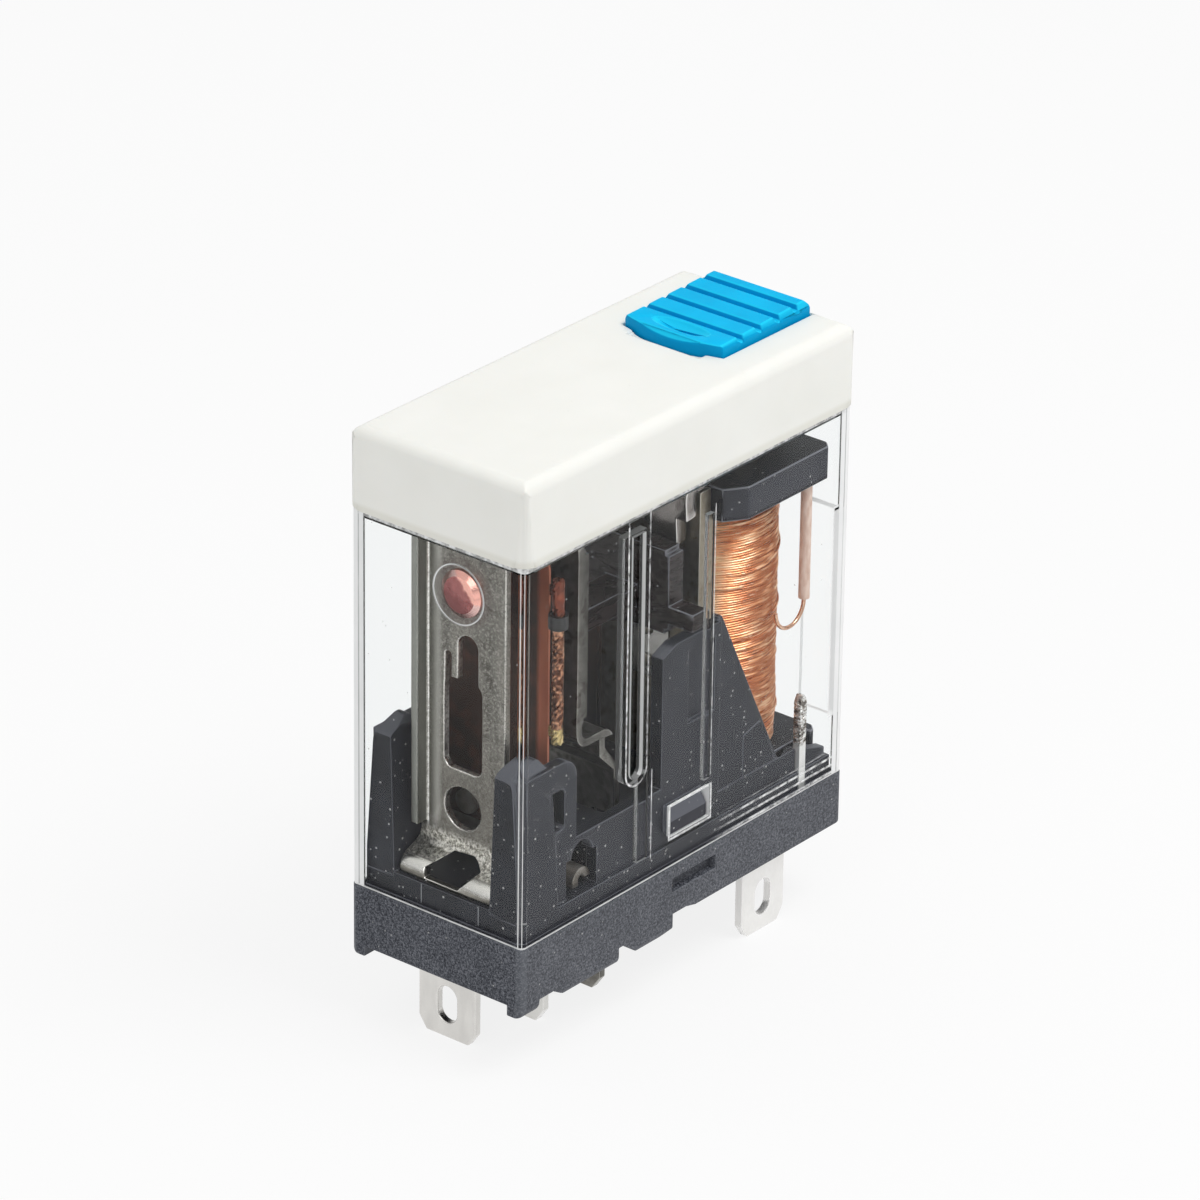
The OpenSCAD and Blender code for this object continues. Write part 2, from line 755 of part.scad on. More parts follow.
// Section of the middle terminal: its upper part is joggled towards the contact end
module middle_section() {
    back = middle_blade_x + sheet_t / 2;
    front = back - sheet_t;
    low = floor_z + 0.35;
    lean = sheet_t * 0.414;
    panel([front, -blade_reach], [back, low]);
    polygon([[front, low - lean], [back, low - eps], [back, low],
             [back - joggle, low + joggle + lean], [back - joggle, low + joggle + lean + eps],
             [front - joggle, low + joggle + lean], [front - joggle, low + joggle],
             [front, low]]);
    panel([front - joggle, low + joggle], [back - joggle, flex_z + 2]);
}

// Middle terminal: it carries the moving spring and stands on two rolled feet
module middle_terminal() {
    roll_r = 0.75;
    roll_y = spring_w / 2 + 0.65;
    front = middle_blade_x - sheet_t / 2;
    color("#b9b6ad") lift() difference() {
        union() {
            intersection() {
                along_y(2 * side_y) middle_section();
                translate([middle_blade_x, 0, 0]) along_x(4) {
                    translate([slim_blade_y, 0]) blade_outline(slim_blade_w, floor_z + 0.2);
                    panel([-spring_w / 2, floor_z + 0.05], [spring_w / 2, flex_z + 2]);
                }
            }
            translate([middle_blade_x, 0, 0]) along_x(sheet_t)
                panel([-roll_y - 0.65, floor_z + 0.05], [roll_y + 0.65, floor_z + 0.45]);
            both_sides() translate([front + roll_r, roll_y, floor_z + 0.4]) along_y(1.3) {
                for (a = [0, 90]) quarter_ring(roll_r - sheet_t, roll_r, a);
            }
        }
        for (s = [-1, 1]) translate([spring_back_x - 1, s * 1.5, flex_z + 1.05]) rotate([0, 90, 0])
            cylinder(r = 0.42, h = 3);
    }
}

module spring_rivets() {
    z = flex_z + 1.05;
    color("#c9c5ba") lift() for (s = [-1, 1]) translate([0, s * 1.5, z]) rotate([0, 90, 0]) {
        translate([0, 0, spring_front_x - 0.35]) cylinder(r = 0.75, h = 0.28);
        translate([0, 0, spring_front_x - 0.1]) cylinder(r = 0.4, h = sheet_t + spring_t + 0.12);
        translate([0, 0, spring_back_x + sheet_t]) cylinder(r = 0.65, h = 0.22);
    }
}

// Section of the inner terminal: up from its blade, cranked forward, along a shelf and up again
module inner_section() {
    crank = 1.3;
    crank_z = base_h + 6.3;
    shelf_z = base_h + 9.2;
    back = inner_blade_x + sheet_t / 2;
    front = back - sheet_t;
    step_x = front - crank;
    lean = sheet_t * 0.414;
    panel([front, -blade_reach], [back, crank_z - lean]);
    polygon([[front, crank_z - 2 * lean], [back, crank_z],
             [step_x + sheet_t, crank_z + crank + 2 * lean],
             [step_x + sheet_t, crank_z + crank + 3 * lean], [step_x, crank_z + crank + 3 * lean],
             [step_x, crank_z + crank], [front, crank_z]]);
    panel([step_x, crank_z + crank + lean], [step_x + sheet_t, shelf_z - bend_in]);
    translate([step_x - bend_in, shelf_z - bend_in]) quarter_ring(bend_in, bend_out, 0);
    panel([inner_plate_x + bend_out - eps, shelf_z], [step_x - bend_in + eps, shelf_z + sheet_t]);
    translate([inner_plate_x + bend_out, shelf_z + bend_out]) quarter_ring(bend_in, bend_out, 180);
    panel([inner_plate_x, shelf_z + bend_out - eps], [inner_plate_x + sheet_t, plate_top_z - 0.2]);
}

module inner_front() {
    half = rear_plate_w / 2;
    leg_y = 3.6;
    difference() {
        union() {
            translate([slim_blade_y, 0]) blade_outline(slim_blade_w, floor_z + 0.35);
            panel([-blade_w / 2, floor_z + 0.05], [blade_w / 2, base_h + 3.6]);
            panel([-leg_y, base_h + 3.45], [leg_y, base_h + 9.6]);
            panel([-half, base_h + 9.1], [half, plate_top_z - 0.9]);
            panel([-half + 0.7, base_h + 9.1], [half - 0.7, plate_top_z - 0.2]);
            for (s = [-1, 1]) translate([s * (half - 0.7), plate_top_z - 0.9]) circle(0.7);
        }
        translate([0, contact_z]) circle(shank_r + shank_gap);
        // Window for the card
        translate([0, card_z]) round_rect(card_w / 2 + 0.5, card_t / 2 + 0.6, 0.4);
    }
}

module inner_terminal() {
    lip_l = 0.9;
    half = rear_plate_w / 2;
    lip_low = base_h + 11;
    lip_top = plate_top_z - 1.2;
    color("#a9a59a") lift() {
        intersection() {
            along_y(2 * side_y) inner_section();
            translate([inner_blade_x - 2, 0, 0]) along_x(8) inner_front();
        }
        both_sides() translate([0, half - 0.2, 0]) along_y(0.4) {
            panel([inner_plate_x + sheet_t - eps, lip_low], [inner_plate_x + lip_l, lip_top]);
            panel([inner_plate_x + sheet_t - eps, lip_low - 0.3],
                  [inner_plate_x + lip_l - 0.3, lip_top + 0.3]);
        }
    }
}

module inner_contact() {
    color("#c8bfae") lift()
        contact_rivet(inner_face_x, inner_plate_x, inner_plate_x + sheet_t, -1);
}

// Moving contact

module contact_spring() {
    top = contact_z + 2.3;
    half = spring_w / 2;
    color("#b5623e") lift() translate([(spring_front_x + spring_back_x) / 2, 0, 0])
        along_x(spring_t) difference() {
            union() {
                panel([-half, flex_z], [half, top - 0.8]);
                panel([-half + 0.8, flex_z], [half - 0.8, top]);
                for (s = [-1, 1]) translate([s * (half - 0.8), top - 0.8]) circle(0.8);
            }
            translate([0, contact_z]) circle(0.62);
            for (s = [-1, 1]) translate([s * 1.5, flex_z + 1.05]) circle(0.47);
            // Slot that leaves two springy legs
            round_slot(1.3, card_z - flex_z - 4.4, (card_z + flex_z) / 2 + 0.5);
        }
}

module moving_contact() {
    color("#cfc6b4") lift() translate([0, 0, contact_z]) rotate([0, 90, 0]) {
        translate([0, 0, spring_front_x - pad_t]) cylinder(r = rivet_r - 0.15, h = pad_t);
        translate([0, 0, spring_front_x - eps]) cylinder(r = 0.6, h = spring_t + 2 * eps);
        translate([0, 0, spring_back_x]) cylinder(r = rivet_r - 0.15, h = pad_t);
    }
}

shunt_x = (spring_front_x + spring_back_x) / 2;
shunt_y = -spring_w / 2 - 0.62;
shunt_r = 0.42;
shunt_low_z = flex_z + 6.4;
shunt_top_z = contact_z + 1.2;
sleeve_z = contact_z - 1.7;

// Stranded wire beside the spring, with a loop at each end that is welded to the spring's edge
module shunt_wire() {
    tail_y = -spring_w / 2;
    strand_r = 0.2;
    color("#a8633c") lift() {
        for (a = [0 : 60 : 300])
            translate([shunt_x + strand_r * cos(a), shunt_y + strand_r * sin(a), shunt_low_z])
                cylinder(r = 0.2, h = shunt_top_z - shunt_low_z, $fn = 16);
        for (z = [shunt_low_z + 0.1, shunt_top_z - 0.9])
            block([shunt_x - spring_t / 2, shunt_y, z],
                  [shunt_x + spring_t / 2, tail_y - 0.01, z + 0.8]);
    }
}

module shunt_sleeve() {
    color("#1d1c1d") lift() translate([shunt_x, shunt_y, sleeve_z]) difference() {
        cylinder(r = shunt_r + 0.14, h = 0.8);
        translate([0, 0, -1]) cylinder(r = shunt_r + 0.02, h = 3);
    }
}

card_w = 2.2;
card_t = 1.4;

// Card: a head in front of the armature's prongs and a bar through the inner plate to the spring
module push_card() {
    tip_x = spring_back_x + touch_gap;
    nub_r = 0.35;
    nub_x = yoke_x - leg_gap - armature_t + drive_drop * sin(open_angle) - 0.03;
    head_x = nub_x - 0.14;
    head_t = 1.3;
    head_top = hinge_z - 2.75;
    head_low = column_z + 0.05;
    front_x = head_x - head_t;
    bar_low = card_z - card_t / 2;
    color("#26262a") lift() {
        block([tip_x + 0.3, -card_w / 2, bar_low], [front_x + eps, card_w / 2, bar_low + card_t]);
        translate([tip_x + 0.35, 0, card_z]) rotate([90, 0, 0])
            cylinder(r = 0.35, h = card_w, center = true);
        translate([head_x - head_t / 2, 0, 0]) along_x(head_t) {
            panel([-3.1, head_low - 0.7], [3.1, head_top]);
            panel([-3.4, head_low - 0.4], [3.4, head_top - 0.3]);
            panel([0.1 - wall_out, head_low], [wall_out - 0.1, head_low + 1.1]);
        }
        translate([nub_x - nub_r, 0, hinge_z - drive_drop]) rotate([90, 0, 0])
            cylinder(r = nub_r, h = 2 * prong_y + prong_w, center = true);
        // Rib under the bar
        along_y(0.8) polygon([[front_x + eps, head_low - 0.6], [front_x + eps, bar_low + eps],
                              [front_x - 3.6, bar_low + eps]]);
    }
}

// Magnet

// Section of the armature in its closed position
module armature_section() {
    r_in = 0.25;
    r_out = r_in + armature_t;
    leg_back = yoke_x - leg_gap;
    panel([leg_back + r_in - eps, armature_z], [armature_end_x, armature_top_z]);
    translate([leg_back + r_in, armature_z - r_in]) quarter_ring(r_in, r_out, 90);
    panel([leg_back - armature_t, prong_end_z], [leg_back, armature_z - r_in + eps]);
}

// Armature seen from above, narrowed at its free end
module armature_plan() {
    half = yoke_w / 2;
    polygon([[yoke_x - 3, -half], [armature_end_x - 1.4, -half], [armature_end_x, 1 - half],
             [armature_end_x, half - 1], [armature_end_x - 1.4, half], [yoke_x - 3, half]]);
}

// Leg of the armature, with its two round-ended prongs
module armature_leg() {
    half = yoke_w / 2;
    fork_z = hinge_z - 1.3;
    panel([-half, fork_z], [half, top_z]);
    for (s = [-1, 1]) {
        translate([s * prong_y, prong_end_z + prong_w / 2]) circle(prong_w / 2);
        translate([s * prong_y - prong_w / 2, prong_end_z + prong_w / 2])
            square([prong_w, fork_z - prong_end_z - prong_w / 2 + eps]);
    }
}

module armature() {
    color("#c4c2ba") lift() translate([yoke_x, 0, hinge_z]) rotate([0, -open_angle, 0])
        translate([-yoke_x, 0, -hinge_z]) intersection() {
            along_y(2 * side_y) armature_section();
            linear_extrude(top_z) armature_plan();
            union() {
                translate([yoke_x - 2, 0, 0]) along_x(5) armature_leg();
                block([yoke_x, -side_y, 0], [end_x, side_y, top_z]);
            }
        }
}

// Section of the leaf: up the yoke, through the armature's fork, and up its front face
module leaf_section() {
    t = leaf_t;
    rise_z = hinge_z - 3.5;
    front = yoke_x - leg_gap - armature_t - 0.04 - t;
    panel([yoke_x - t, stake_z - 1], [yoke_x, rise_z]);
    polygon([[yoke_x - t, rise_z - eps], [yoke_x, rise_z - eps], [yoke_x, rise_z],
             [front + t, hinge_z - 1.75], [front + t, hinge_z - 0.65],
             [front + t * 0.4, hinge_z - 0.45],
             [front, hinge_z - 0.65], [front, hinge_z - 1.85], [yoke_x - t, rise_z - 0.1]]);
}

module leaf_front() {
    half = 1.5;
    neck = 0.7;
    panel([-half, stake_z - 0.5], [half, hinge_z - 5.6]);
    panel([0.5 - half, stake_z - 1], [half - 0.5, hinge_z - 5.1]);
    for (s = [-1, 1], z = [stake_z - 0.5, hinge_z - 5.6])
        translate([s * (half - 0.5), z]) circle(0.5);
    panel([-neck, hinge_z - 5.2], [neck, hinge_z]);
}

// Leaf that holds the armature on the yoke and returns it: it is staked to the yoke
module hinge_spring() {
    color("#8f8a80") lift() difference() {
        intersection() {
            along_y(4) leaf_section();
            translate([yoke_x - 1, 0, 0]) along_x(4) leaf_front();
        }
        for (dz = [0, 2]) translate([yoke_x - 1, 0, stake_z + dz]) rotate([0, 90, 0])
            cylinder(r = 0.43, h = 2);
    }
}

module yoke() {
    foot_end_x = coil_x + 3.6;
    color("#a89e86") lift() difference() {
        union() {
            intersection() {
                along_y(yoke_w) {
                    panel([yoke_x, yoke_foot_z + 1.2], [yoke_x + yoke_t, hinge_z]);
                    panel([yoke_x + 1.2 - eps, yoke_foot_z], [foot_end_x, yoke_foot_z + yoke_t]);
                    translate([yoke_x + 1.2, yoke_foot_z + 1.2]) quarter_ring(1.2 - yoke_t, 1.2, 180);
                }
                along_x(3 * end_x) panel([-yoke_w / 2, 0], [yoke_w / 2, hinge_z]);
            }
            for (dz = [0, 2]) translate([yoke_x - 0.3, 0, stake_z + dz]) rotate([0, 90, 0])
                cylinder(r = 0.4, h = 0.5);
        }
        translate([coil_x, 0, yoke_foot_z - 1]) cylinder(r = stake_r + bore_gap, h = 3);
    }
}

module core() {
    color("#bdb9af") lift() translate([coil_x, 0, 0]) {
        translate([0, 0, yoke_foot_z + 0.05]) cylinder(r = stake_r, h = yoke_t + 1);
        translate([0, 0, yoke_foot_z + yoke_t])
            cylinder(r = core_r, h = pole_z - yoke_foot_z - yoke_t - pole_t / 2);
        translate([0, 0, pole_z - pole_t]) cylinder(r = pole_r, h = pole_t);
    }
}

// Flange of the bobbin: bevelled at the yoke side, square at the end
module flange_plan(half, bevel_x, bevel_y) {
    end_bevel = 0.4;
    polygon([[flange_back_x, bevel_y - half], [flange_back_x + bevel_x, -half],
             [flange_end_x - end_bevel, -half], [flange_end_x, end_bevel - half],
             [flange_end_x, half - end_bevel], [flange_end_x - end_bevel, half],
             [flange_back_x + bevel_x, half], [flange_back_x, half - bevel_y]]);
}

module bobbin() {
    hook_w = 0.9;
    color("#232327") lift() difference() {
        union() {
            translate([0, 0, foot_flange_z]) linear_extrude(foot_flange_t)
                flange_plan(foot_flange_y, 0.6, 0.6);
            translate([0, 0, top_flange_z]) linear_extrude(top_flange_t) flange_plan(flange_y, 1.3, 0.9);
            translate([coil_x, 0, foot_flange_z]) cylinder(r = tube_r, h = top_flange_z - foot_flange_z + 1);
            // Collar under the upper flange
            translate([coil_x, 0, top_flange_z - 0.35]) cylinder(r = winding_r - 0.25, h = 0.5);
        }
        translate([coil_x, 0, 0]) cylinder(r = core_r + bore_gap, h = top_z);
        translate([coil_x, 0, pole_z - pole_t]) cylinder(r = pole_r + bore_gap, h = top_z);
        // Bores in the upper flange for the sleeved leads
        both_sides() translate([lead_x, lead_y, top_flange_z - 1]) cylinder(r = sleeve_r + 0.02, h = 1.8);
        // Notches in the lower flange beside the winding's ends
        both_sides() block([flange_end_x - 1.6, foot_flange_y - 0.5, foot_flange_z - 1],
                           [flange_end_x - 1.6 + hook_w, foot_flange_y + 1, winding_foot_z + 1]);
    }
}

// Winding: layers of fine wire, fuller in places
module winding() {
    steps = 24;
    h = top_flange_z - 0.35 - winding_foot_z;
    function bulge(t) = 0.05 * sin(540 * t + 40) + 0.04 * sin(1260 * t) - 0.22 * pow(abs(2 * t - 1), 8);
    color("#c8703a") lift() translate([coil_x, 0, winding_foot_z]) rotate_extrude($fn = 64)
        polygon(concat([[tube_r + 0.01, 0]],
                       [for (i = [0 : steps]) [winding_r + bulge(i / steps), h * i / steps]],
                       [[tube_r + 0.01, h]]));
}

wire_r = 0.12;
lead_x = end_x - 2;
lead_y = winding_r + 0.09 + wire_r + 0.02;
sleeve_r = 0.33;
sleeve_low_z = top_flange_z - 7.4;
post_w = 0.6;
post_top_z = base_h + 5.9;
arm_z = base_h - 0.5;
arm_h = 0.8;
post_step = 1.05;

function post_x() = coil_blade_x + coil_blade_w / 2 + post_step;

// Coil terminal: a blade, an arm inside the base, and the post for the wire
module coil_terminal() {
    x = post_x();
    half = post_w / 2;
    color("#c9c7c0") lift() translate([0, coil_blade_y, 0]) along_y(sheet_t) {
        translate([coil_blade_x, 0]) blade_face(coil_blade_w, arm_z);
        panel([coil_blade_x, arm_z - arm_h], [x + half, arm_z]);
        polygon([[x - half, arm_z - arm_h], [x + half, arm_z - arm_h], [x + half, post_top_z - 0.4],
                 [x + 0.1, post_top_z], [x - 0.1, post_top_z], [x - half, post_top_z - 0.4]]);
    }
}

module near_coil_terminal() {
    mirror([0, 1, 0]) coil_terminal();
}

module far_coil_terminal() {
    coil_terminal();
}

// Coil lead: straight down from the flange in its sleeve, then round a hook to the winding
module coil_lead() {
    hook_r = 1.3;
    hook_z = sleeve_low_z - 0.1;
    color("#b9683c") lift() {
        translate([lead_x, lead_y, hook_z])
            cylinder(r = wire_r, h = top_flange_z + 0.6 - hook_z);
        translate([lead_x - hook_r, lead_y, hook_z]) rotate([-90, 0, 0])
            rotate_extrude(angle = 180) translate([hook_r, 0]) circle(wire_r);
    }
}

module lead_sleeve() {
    color("#d9c2ae") lift() translate([lead_x, lead_y, sleeve_low_z]) difference() {
        cylinder(r = sleeve_r, h = top_flange_z + 0.7 - sleeve_low_z);
        translate([0, 0, -1]) cylinder(r = wire_r + 0.02, h = 12);
    }
}

module near_coil_lead() {
    mirror([0, 1, 0]) coil_lead();
}

module far_coil_lead() {
    coil_lead();
}

module near_lead_sleeve() {
    mirror([0, 1, 0]) lead_sleeve();
}

module far_lead_sleeve() {
    lead_sleeve();
}

base();
clear_case();
cap();
test_button();
outer_terminal();
outer_contact();
middle_terminal();
spring_rivets();
inner_terminal();
inner_contact();
contact_spring();
moving_contact();
shunt_wire();
shunt_sleeve();
push_card();
armature();
hinge_spring();
yoke();
core();
bobbin();
winding();
near_coil_terminal();
far_coil_terminal();
near_coil_lead();
far_coil_lead();
near_lead_sleeve();
far_lead_sleeve();
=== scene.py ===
"""Slim plug-in relay: one changeover contact and one coil under a clear case, dressed for its portrait.
X runs along the relay towards the coil, Y across it and Z up from the blade tips. Sizes are in millimetres
until they reach Blender, which works in metres."""

import json
import math

import bmesh
import bpy
import numpy as np
from mathutils import Matrix, Vector
from mathutils.bvhtree import BVHTree

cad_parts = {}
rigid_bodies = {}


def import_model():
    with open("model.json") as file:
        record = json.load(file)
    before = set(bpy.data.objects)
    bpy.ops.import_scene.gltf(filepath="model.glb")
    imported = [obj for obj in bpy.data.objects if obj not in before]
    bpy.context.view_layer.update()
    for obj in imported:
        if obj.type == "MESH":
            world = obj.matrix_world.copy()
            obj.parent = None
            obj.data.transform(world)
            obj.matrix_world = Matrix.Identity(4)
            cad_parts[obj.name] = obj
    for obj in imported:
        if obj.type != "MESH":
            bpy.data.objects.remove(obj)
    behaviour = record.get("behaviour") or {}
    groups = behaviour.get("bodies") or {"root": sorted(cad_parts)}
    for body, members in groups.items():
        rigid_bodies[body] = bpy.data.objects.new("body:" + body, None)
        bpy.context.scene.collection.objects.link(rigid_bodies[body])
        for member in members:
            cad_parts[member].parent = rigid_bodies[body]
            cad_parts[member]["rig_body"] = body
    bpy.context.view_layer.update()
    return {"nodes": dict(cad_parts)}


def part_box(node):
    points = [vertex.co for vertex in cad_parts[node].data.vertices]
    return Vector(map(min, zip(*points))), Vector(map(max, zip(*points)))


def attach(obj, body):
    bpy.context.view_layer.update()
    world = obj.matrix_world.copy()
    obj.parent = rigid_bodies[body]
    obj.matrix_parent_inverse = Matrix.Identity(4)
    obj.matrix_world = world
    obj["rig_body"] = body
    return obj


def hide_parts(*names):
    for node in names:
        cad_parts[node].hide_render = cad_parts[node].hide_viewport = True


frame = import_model()
MM = 0.001
FULL_TURN = 6.28
SKY = 0.66
LONG_SIDE_WATTS = 0.48
CONTACT_END_WATTS = 0.105


class Value:
    """A node socket that takes part in sums: each operator adds the Math node that works it out."""

    def __init__(self, tree, socket):
        self.tree, self.socket = tree, socket

    def math(self, operation, *others, first=None):
        node = self.tree.nodes.new("ShaderNodeMath")
        node.operation = operation
        terms = [self if first is None else first, *others]
        for slot, term in zip(node.inputs, terms):
            if isinstance(term, Value):
                self.tree.links.new(term.socket, slot)
            else:
                slot.default_value = term
        return Value(self.tree, node.outputs[0])

    def __add__(self, other):
        return self.math("ADD", other)

    def __sub__(self, other):
        return self.math("SUBTRACT", other)

    def __rsub__(self, other):
        return self.math("SUBTRACT", self, first=other)

    def __mul__(self, other):
        return self.math("MULTIPLY", other)

    def __truediv__(self, other):
        return self.math("DIVIDE", other)

    def __pow__(self, other):
        return self.math("POWER", other)

    __radd__ = __add__
    __rmul__ = __mul__

    def larger(self, other):
        return self.math("MAXIMUM", other)

    def smaller(self, other):
        return self.math("MINIMUM", other)

    def size(self):
        return self.math("ABSOLUTE")

    def wave(self):
        return self.math("SINE")

    def over(self, edge, soft):
        """1 where the value is over the edge and 0 under it, with a soft step between."""
        step = (self - edge) / soft + 0.5
        step.socket.node.use_clamp = True
        return step

    def under(self, edge, soft):
        return 1 - self.over(edge, soft)

    def within(self, low, high, soft):
        return self.over(low, soft) * self.under(high, soft)

    def near(self, place, reach, soft):
        """1 within a reach of a place, on either side of it."""
        return (self - place).size().under(reach, soft)


class Tree:
    """A node tree that is written down as calls: a node's type, its settings, then the values or links of its
    sockets. A socket that is known by its number is written as i and the number."""

    def __init__(self, tree):
        self.tree = tree
        tree.nodes.clear()

    def node(self, kind, settings=None, **inputs):
        made = self.tree.nodes.new(kind)
        for name, setting in (settings or {}).items():
            if name == "stops":
                ramp = made.color_ramp
                while len(ramp.elements) < len(setting):
                    ramp.elements.new(0.5)
                for element, (place, colour) in zip(ramp.elements, setting):
                    element.position, element.color = place, colour
            else:
                setattr(made, name, setting)
        for name, value in inputs.items():
            label = name.replace("_", " ")
            slot = made.inputs[int(label[1:])] if label[1:].isdigit() else made.inputs[label]
            self.put(slot, value)
        return made

    def put(self, slot, value):
        if isinstance(value, Value):
            self.tree.links.new(value.socket, slot)
        elif isinstance(value, bpy.types.NodeSocket):
            self.tree.links.new(value, slot)
        else:
            slot.default_value = value

    def value(self, node, output=0):
        return Value(self.tree, node.outputs[output])

    def mix(self, share, first, second):
        """A colour between two colours."""
        return self.node("ShaderNodeMix", {"data_type": "RGBA"}, i0=share, i6=first, i7=second).outputs[2]

    def shader_mix(self, share, first, second):
        return self.node("ShaderNodeMixShader", i0=share, i1=first, i2=second).outputs[0]


class Finish(Tree):
    """A material in the making. Its places are in millimetres in the relay's own frame."""

    def __init__(self, name):
        self.material = bpy.data.materials.new(name)
        self.material.use_nodes = True
        super().__init__(self.material.node_tree)
        here = self.node("ShaderNodeTexCoord").outputs["Object"]
        self.place = self.node("ShaderNodeVectorMath", {"operation": "SCALE"}, i0=here,
                               Scale=1 / MM).outputs[0]
        split = self.node("ShaderNodeSeparateXYZ", i0=self.place)
        self.x, self.y, self.z = (self.value(split, i) for i in range(3))

    def facing(self):
        """How far the surface looks along X, Y and Z, each from -1 to 1."""
        if not hasattr(self, "turned"):
            here = self.node("ShaderNodeTexCoord").outputs["Normal"]
            split = self.node("ShaderNodeSeparateXYZ", i0=here)
            self.turned = tuple(self.value(split, i) for i in range(3))
        return self.turned

    def edges(self):
        """1 along eased edges and round bends, 0 on faces square to the relay's axes."""
        nx, ny, nz = self.facing()
        return nx.size().larger(ny.size()).larger(nz.size()).under(0.975, 0.035)

    def ring(self, y, z, radius, width, soft):
        """A band round a place on a plate that stands across the relay."""
        far = ((self.y - y) ** 2 + (self.z - z) ** 2) ** 0.5
        return (far - radius).size().under(width / 2, soft)

    def stretched(self, x, y, z):
        return self.node("ShaderNodeVectorMath", {"operation": "MULTIPLY"}, i0=self.place,
                         i1=(x, y, z)).outputs[0]

    def grain(self, per_mm, detail=2.0, place=None, rough=0.5, twist=0.0):
        """Cloudy noise from 0 to 1, with so many patches to the millimetre."""
        return self.value(self.node("ShaderNodeTexNoise", Vector=place or self.place, Scale=per_mm,
                                    Detail=detail, Roughness=rough, Distortion=twist))

    def cells(self, per_mm):
        """Distance from the middle of each cell of a scattered pattern."""
        return self.value(self.node("ShaderNodeTexVoronoi", Vector=self.place, Scale=per_mm))

    def specks(self, per_mm, radius):
        """Scattered round specks, some stronger than others."""
        strength = self.grain(1.1, 1.0).over(0.52, 0.2)
        return self.cells(per_mm).under(radius * per_mm, 0.03 * per_mm) * strength

    def tones(self, share, *stops):
        """A colour picked along a row of tones."""
        row = [(place, (*colour, 1.0)) for place, colour in stops]
        return self.node("ShaderNodeValToRGB", {"stops": row}, Fac=share).outputs[0]

    def relief(self, height, depth_mm, strength=1.0):
        return self.node("ShaderNodeBump", Height=height, Distance=depth_mm * MM,
                         Strength=strength).outputs[0]

    def done(self, surface):
        self.node("ShaderNodeOutputMaterial", Surface=surface)
        return self.material

    def coated(self, **inputs):
        """Ends the material with the one shader that most finishes need."""
        return self.done(self.node("ShaderNodeBsdfPrincipled", **inputs).outputs[0])


def tint(r, g, b):
    return (r, g, b, 1.0)


def black_base_plastic():
    """Filled polyester from a spark-eroded mould: grain on the outer walls, smoother skin with pale specks
    inside. Painted light makes the long sides and the inner walls facing -Y lighter, with a painted highlight
    along the edges."""
    f = Finish("black_base_plastic")
    rim_z, wall_x, wall_y = 8.12, 13.8, 5.72
    outer = f.z.under(rim_z, 0.06) * f.x.size().over(wall_x, 0.05).larger(f.y.size().over(wall_y, 0.05))
    pits = f.grain(6.5, 2.0, rough=0.6)
    fine = f.grain(12.0, 1.0)
    clouds = f.grain(0.35, 3.0, rough=0.6)
    specks = f.specks(1.5, 0.05).larger((1 - outer) * f.specks(2.0, 0.07))
    ny = f.facing()[1]
    skin = f.tones(pits * 0.45 + fine * 0.45 + clouds * 0.10, (0.39, (0.014, 0.016, 0.024)),
                   (0.50, (0.066, 0.071, 0.085)), (0.61, (0.175, 0.183, 0.208)))
    # Painted light: the outer long sides, facing +Y or -Y, are made lighter.
    skin = f.mix(ny.size().over(0.7, 0.1) * 0.22, skin, tint(0.19, 0.195, 0.21))
    inside = f.tones(clouds * 0.95 + fine * 0.05, (0.3, (0.007, 0.008, 0.012)),
                     (0.7, (0.023, 0.025, 0.034)))
    # Painted light: inner walls that face -Y are made lighter.
    inside = f.mix(ny.under(-0.7, 0.1) * 0.5, inside, tint(0.046, 0.047, 0.060))
    colour = f.mix(outer, inside, skin)
    colour = f.mix(specks, colour, tint(0.45, 0.45, 0.45))
    # Painted highlight: the worn tint below lightens eased edges and bends.
    worn = f.mix(outer, tint(0.125, 0.130, 0.150), tint(0.16, 0.17, 0.19))
    colour = f.mix(f.edges() * (0.85 - outer * 0.45), colour, worn)
    far_line_y, near_line_y, end_x, line_foot_z, line_top_z = 1.44, -2.7, -13.6, 8.3, 9.5
    parting = f.y.near(far_line_y, 0.035, 0.03).larger(f.y.near(near_line_y, 0.035, 0.03))
    parting = parting * f.x.under(end_x, 0.05) * f.z.within(line_foot_z, line_top_z, 0.1)
    colour = f.mix(parting * 0.8, colour, tint(0.30, 0.31, 0.33))
    rough = 0.44 + outer * 0.16 + pits * outer * 0.10
    relief = f.relief((pits * 0.6 + fine * 0.4) * (0.02 + outer * 0.98), 0.018)
    return f.coated(Base_Color=colour, Roughness=rough, Normal=relief, IOR=1.5, Specular_IOR_Level=0.25)


def black_coil_plastic(name, dark, light, rough):
    """Glass-filled nylon of the bobbin and the card: tighter skin, pale specks and faint flow marks. Painted
    light makes the faces towards -Y above the flange lighter, and a painted highlight lightens edges that
    turn up or down.
    """
    f = Finish(name)
    flange_z = 27.0
    flow = f.grain(1.4, 3.0, place=f.stretched(0.5, 1.0, 2.2), twist=0.8)
    skin = f.grain(13.0)
    _, ny, nz = f.facing()
    colour = f.tones(flow, (0.3, dark), (0.75, light))
    # Painted light: faces towards -Y above the flange are made lighter.
    colour = f.mix(ny.under(-0.8, 0.1) * f.z.over(flange_z, 0.1) * 0.75, colour, tint(0.058, 0.060, 0.076))
    colour = f.mix(f.specks(1.8, 0.065), colour, tint(0.40, 0.40, 0.41))
    # Painted highlight along edges that turn up or down.
    colour = f.mix(f.edges() * 0.7 * nz.size().over(0.12, 0.1), colour, tint(0.33, 0.34, 0.38))
    return f.coated(Base_Color=colour, Roughness=rough + flow * 0.14 + skin * 0.05,
                    Normal=f.relief(flow * 0.4 + skin * 0.6, 0.006, 0.7), IOR=1.5, Specular_IOR_Level=0.22)


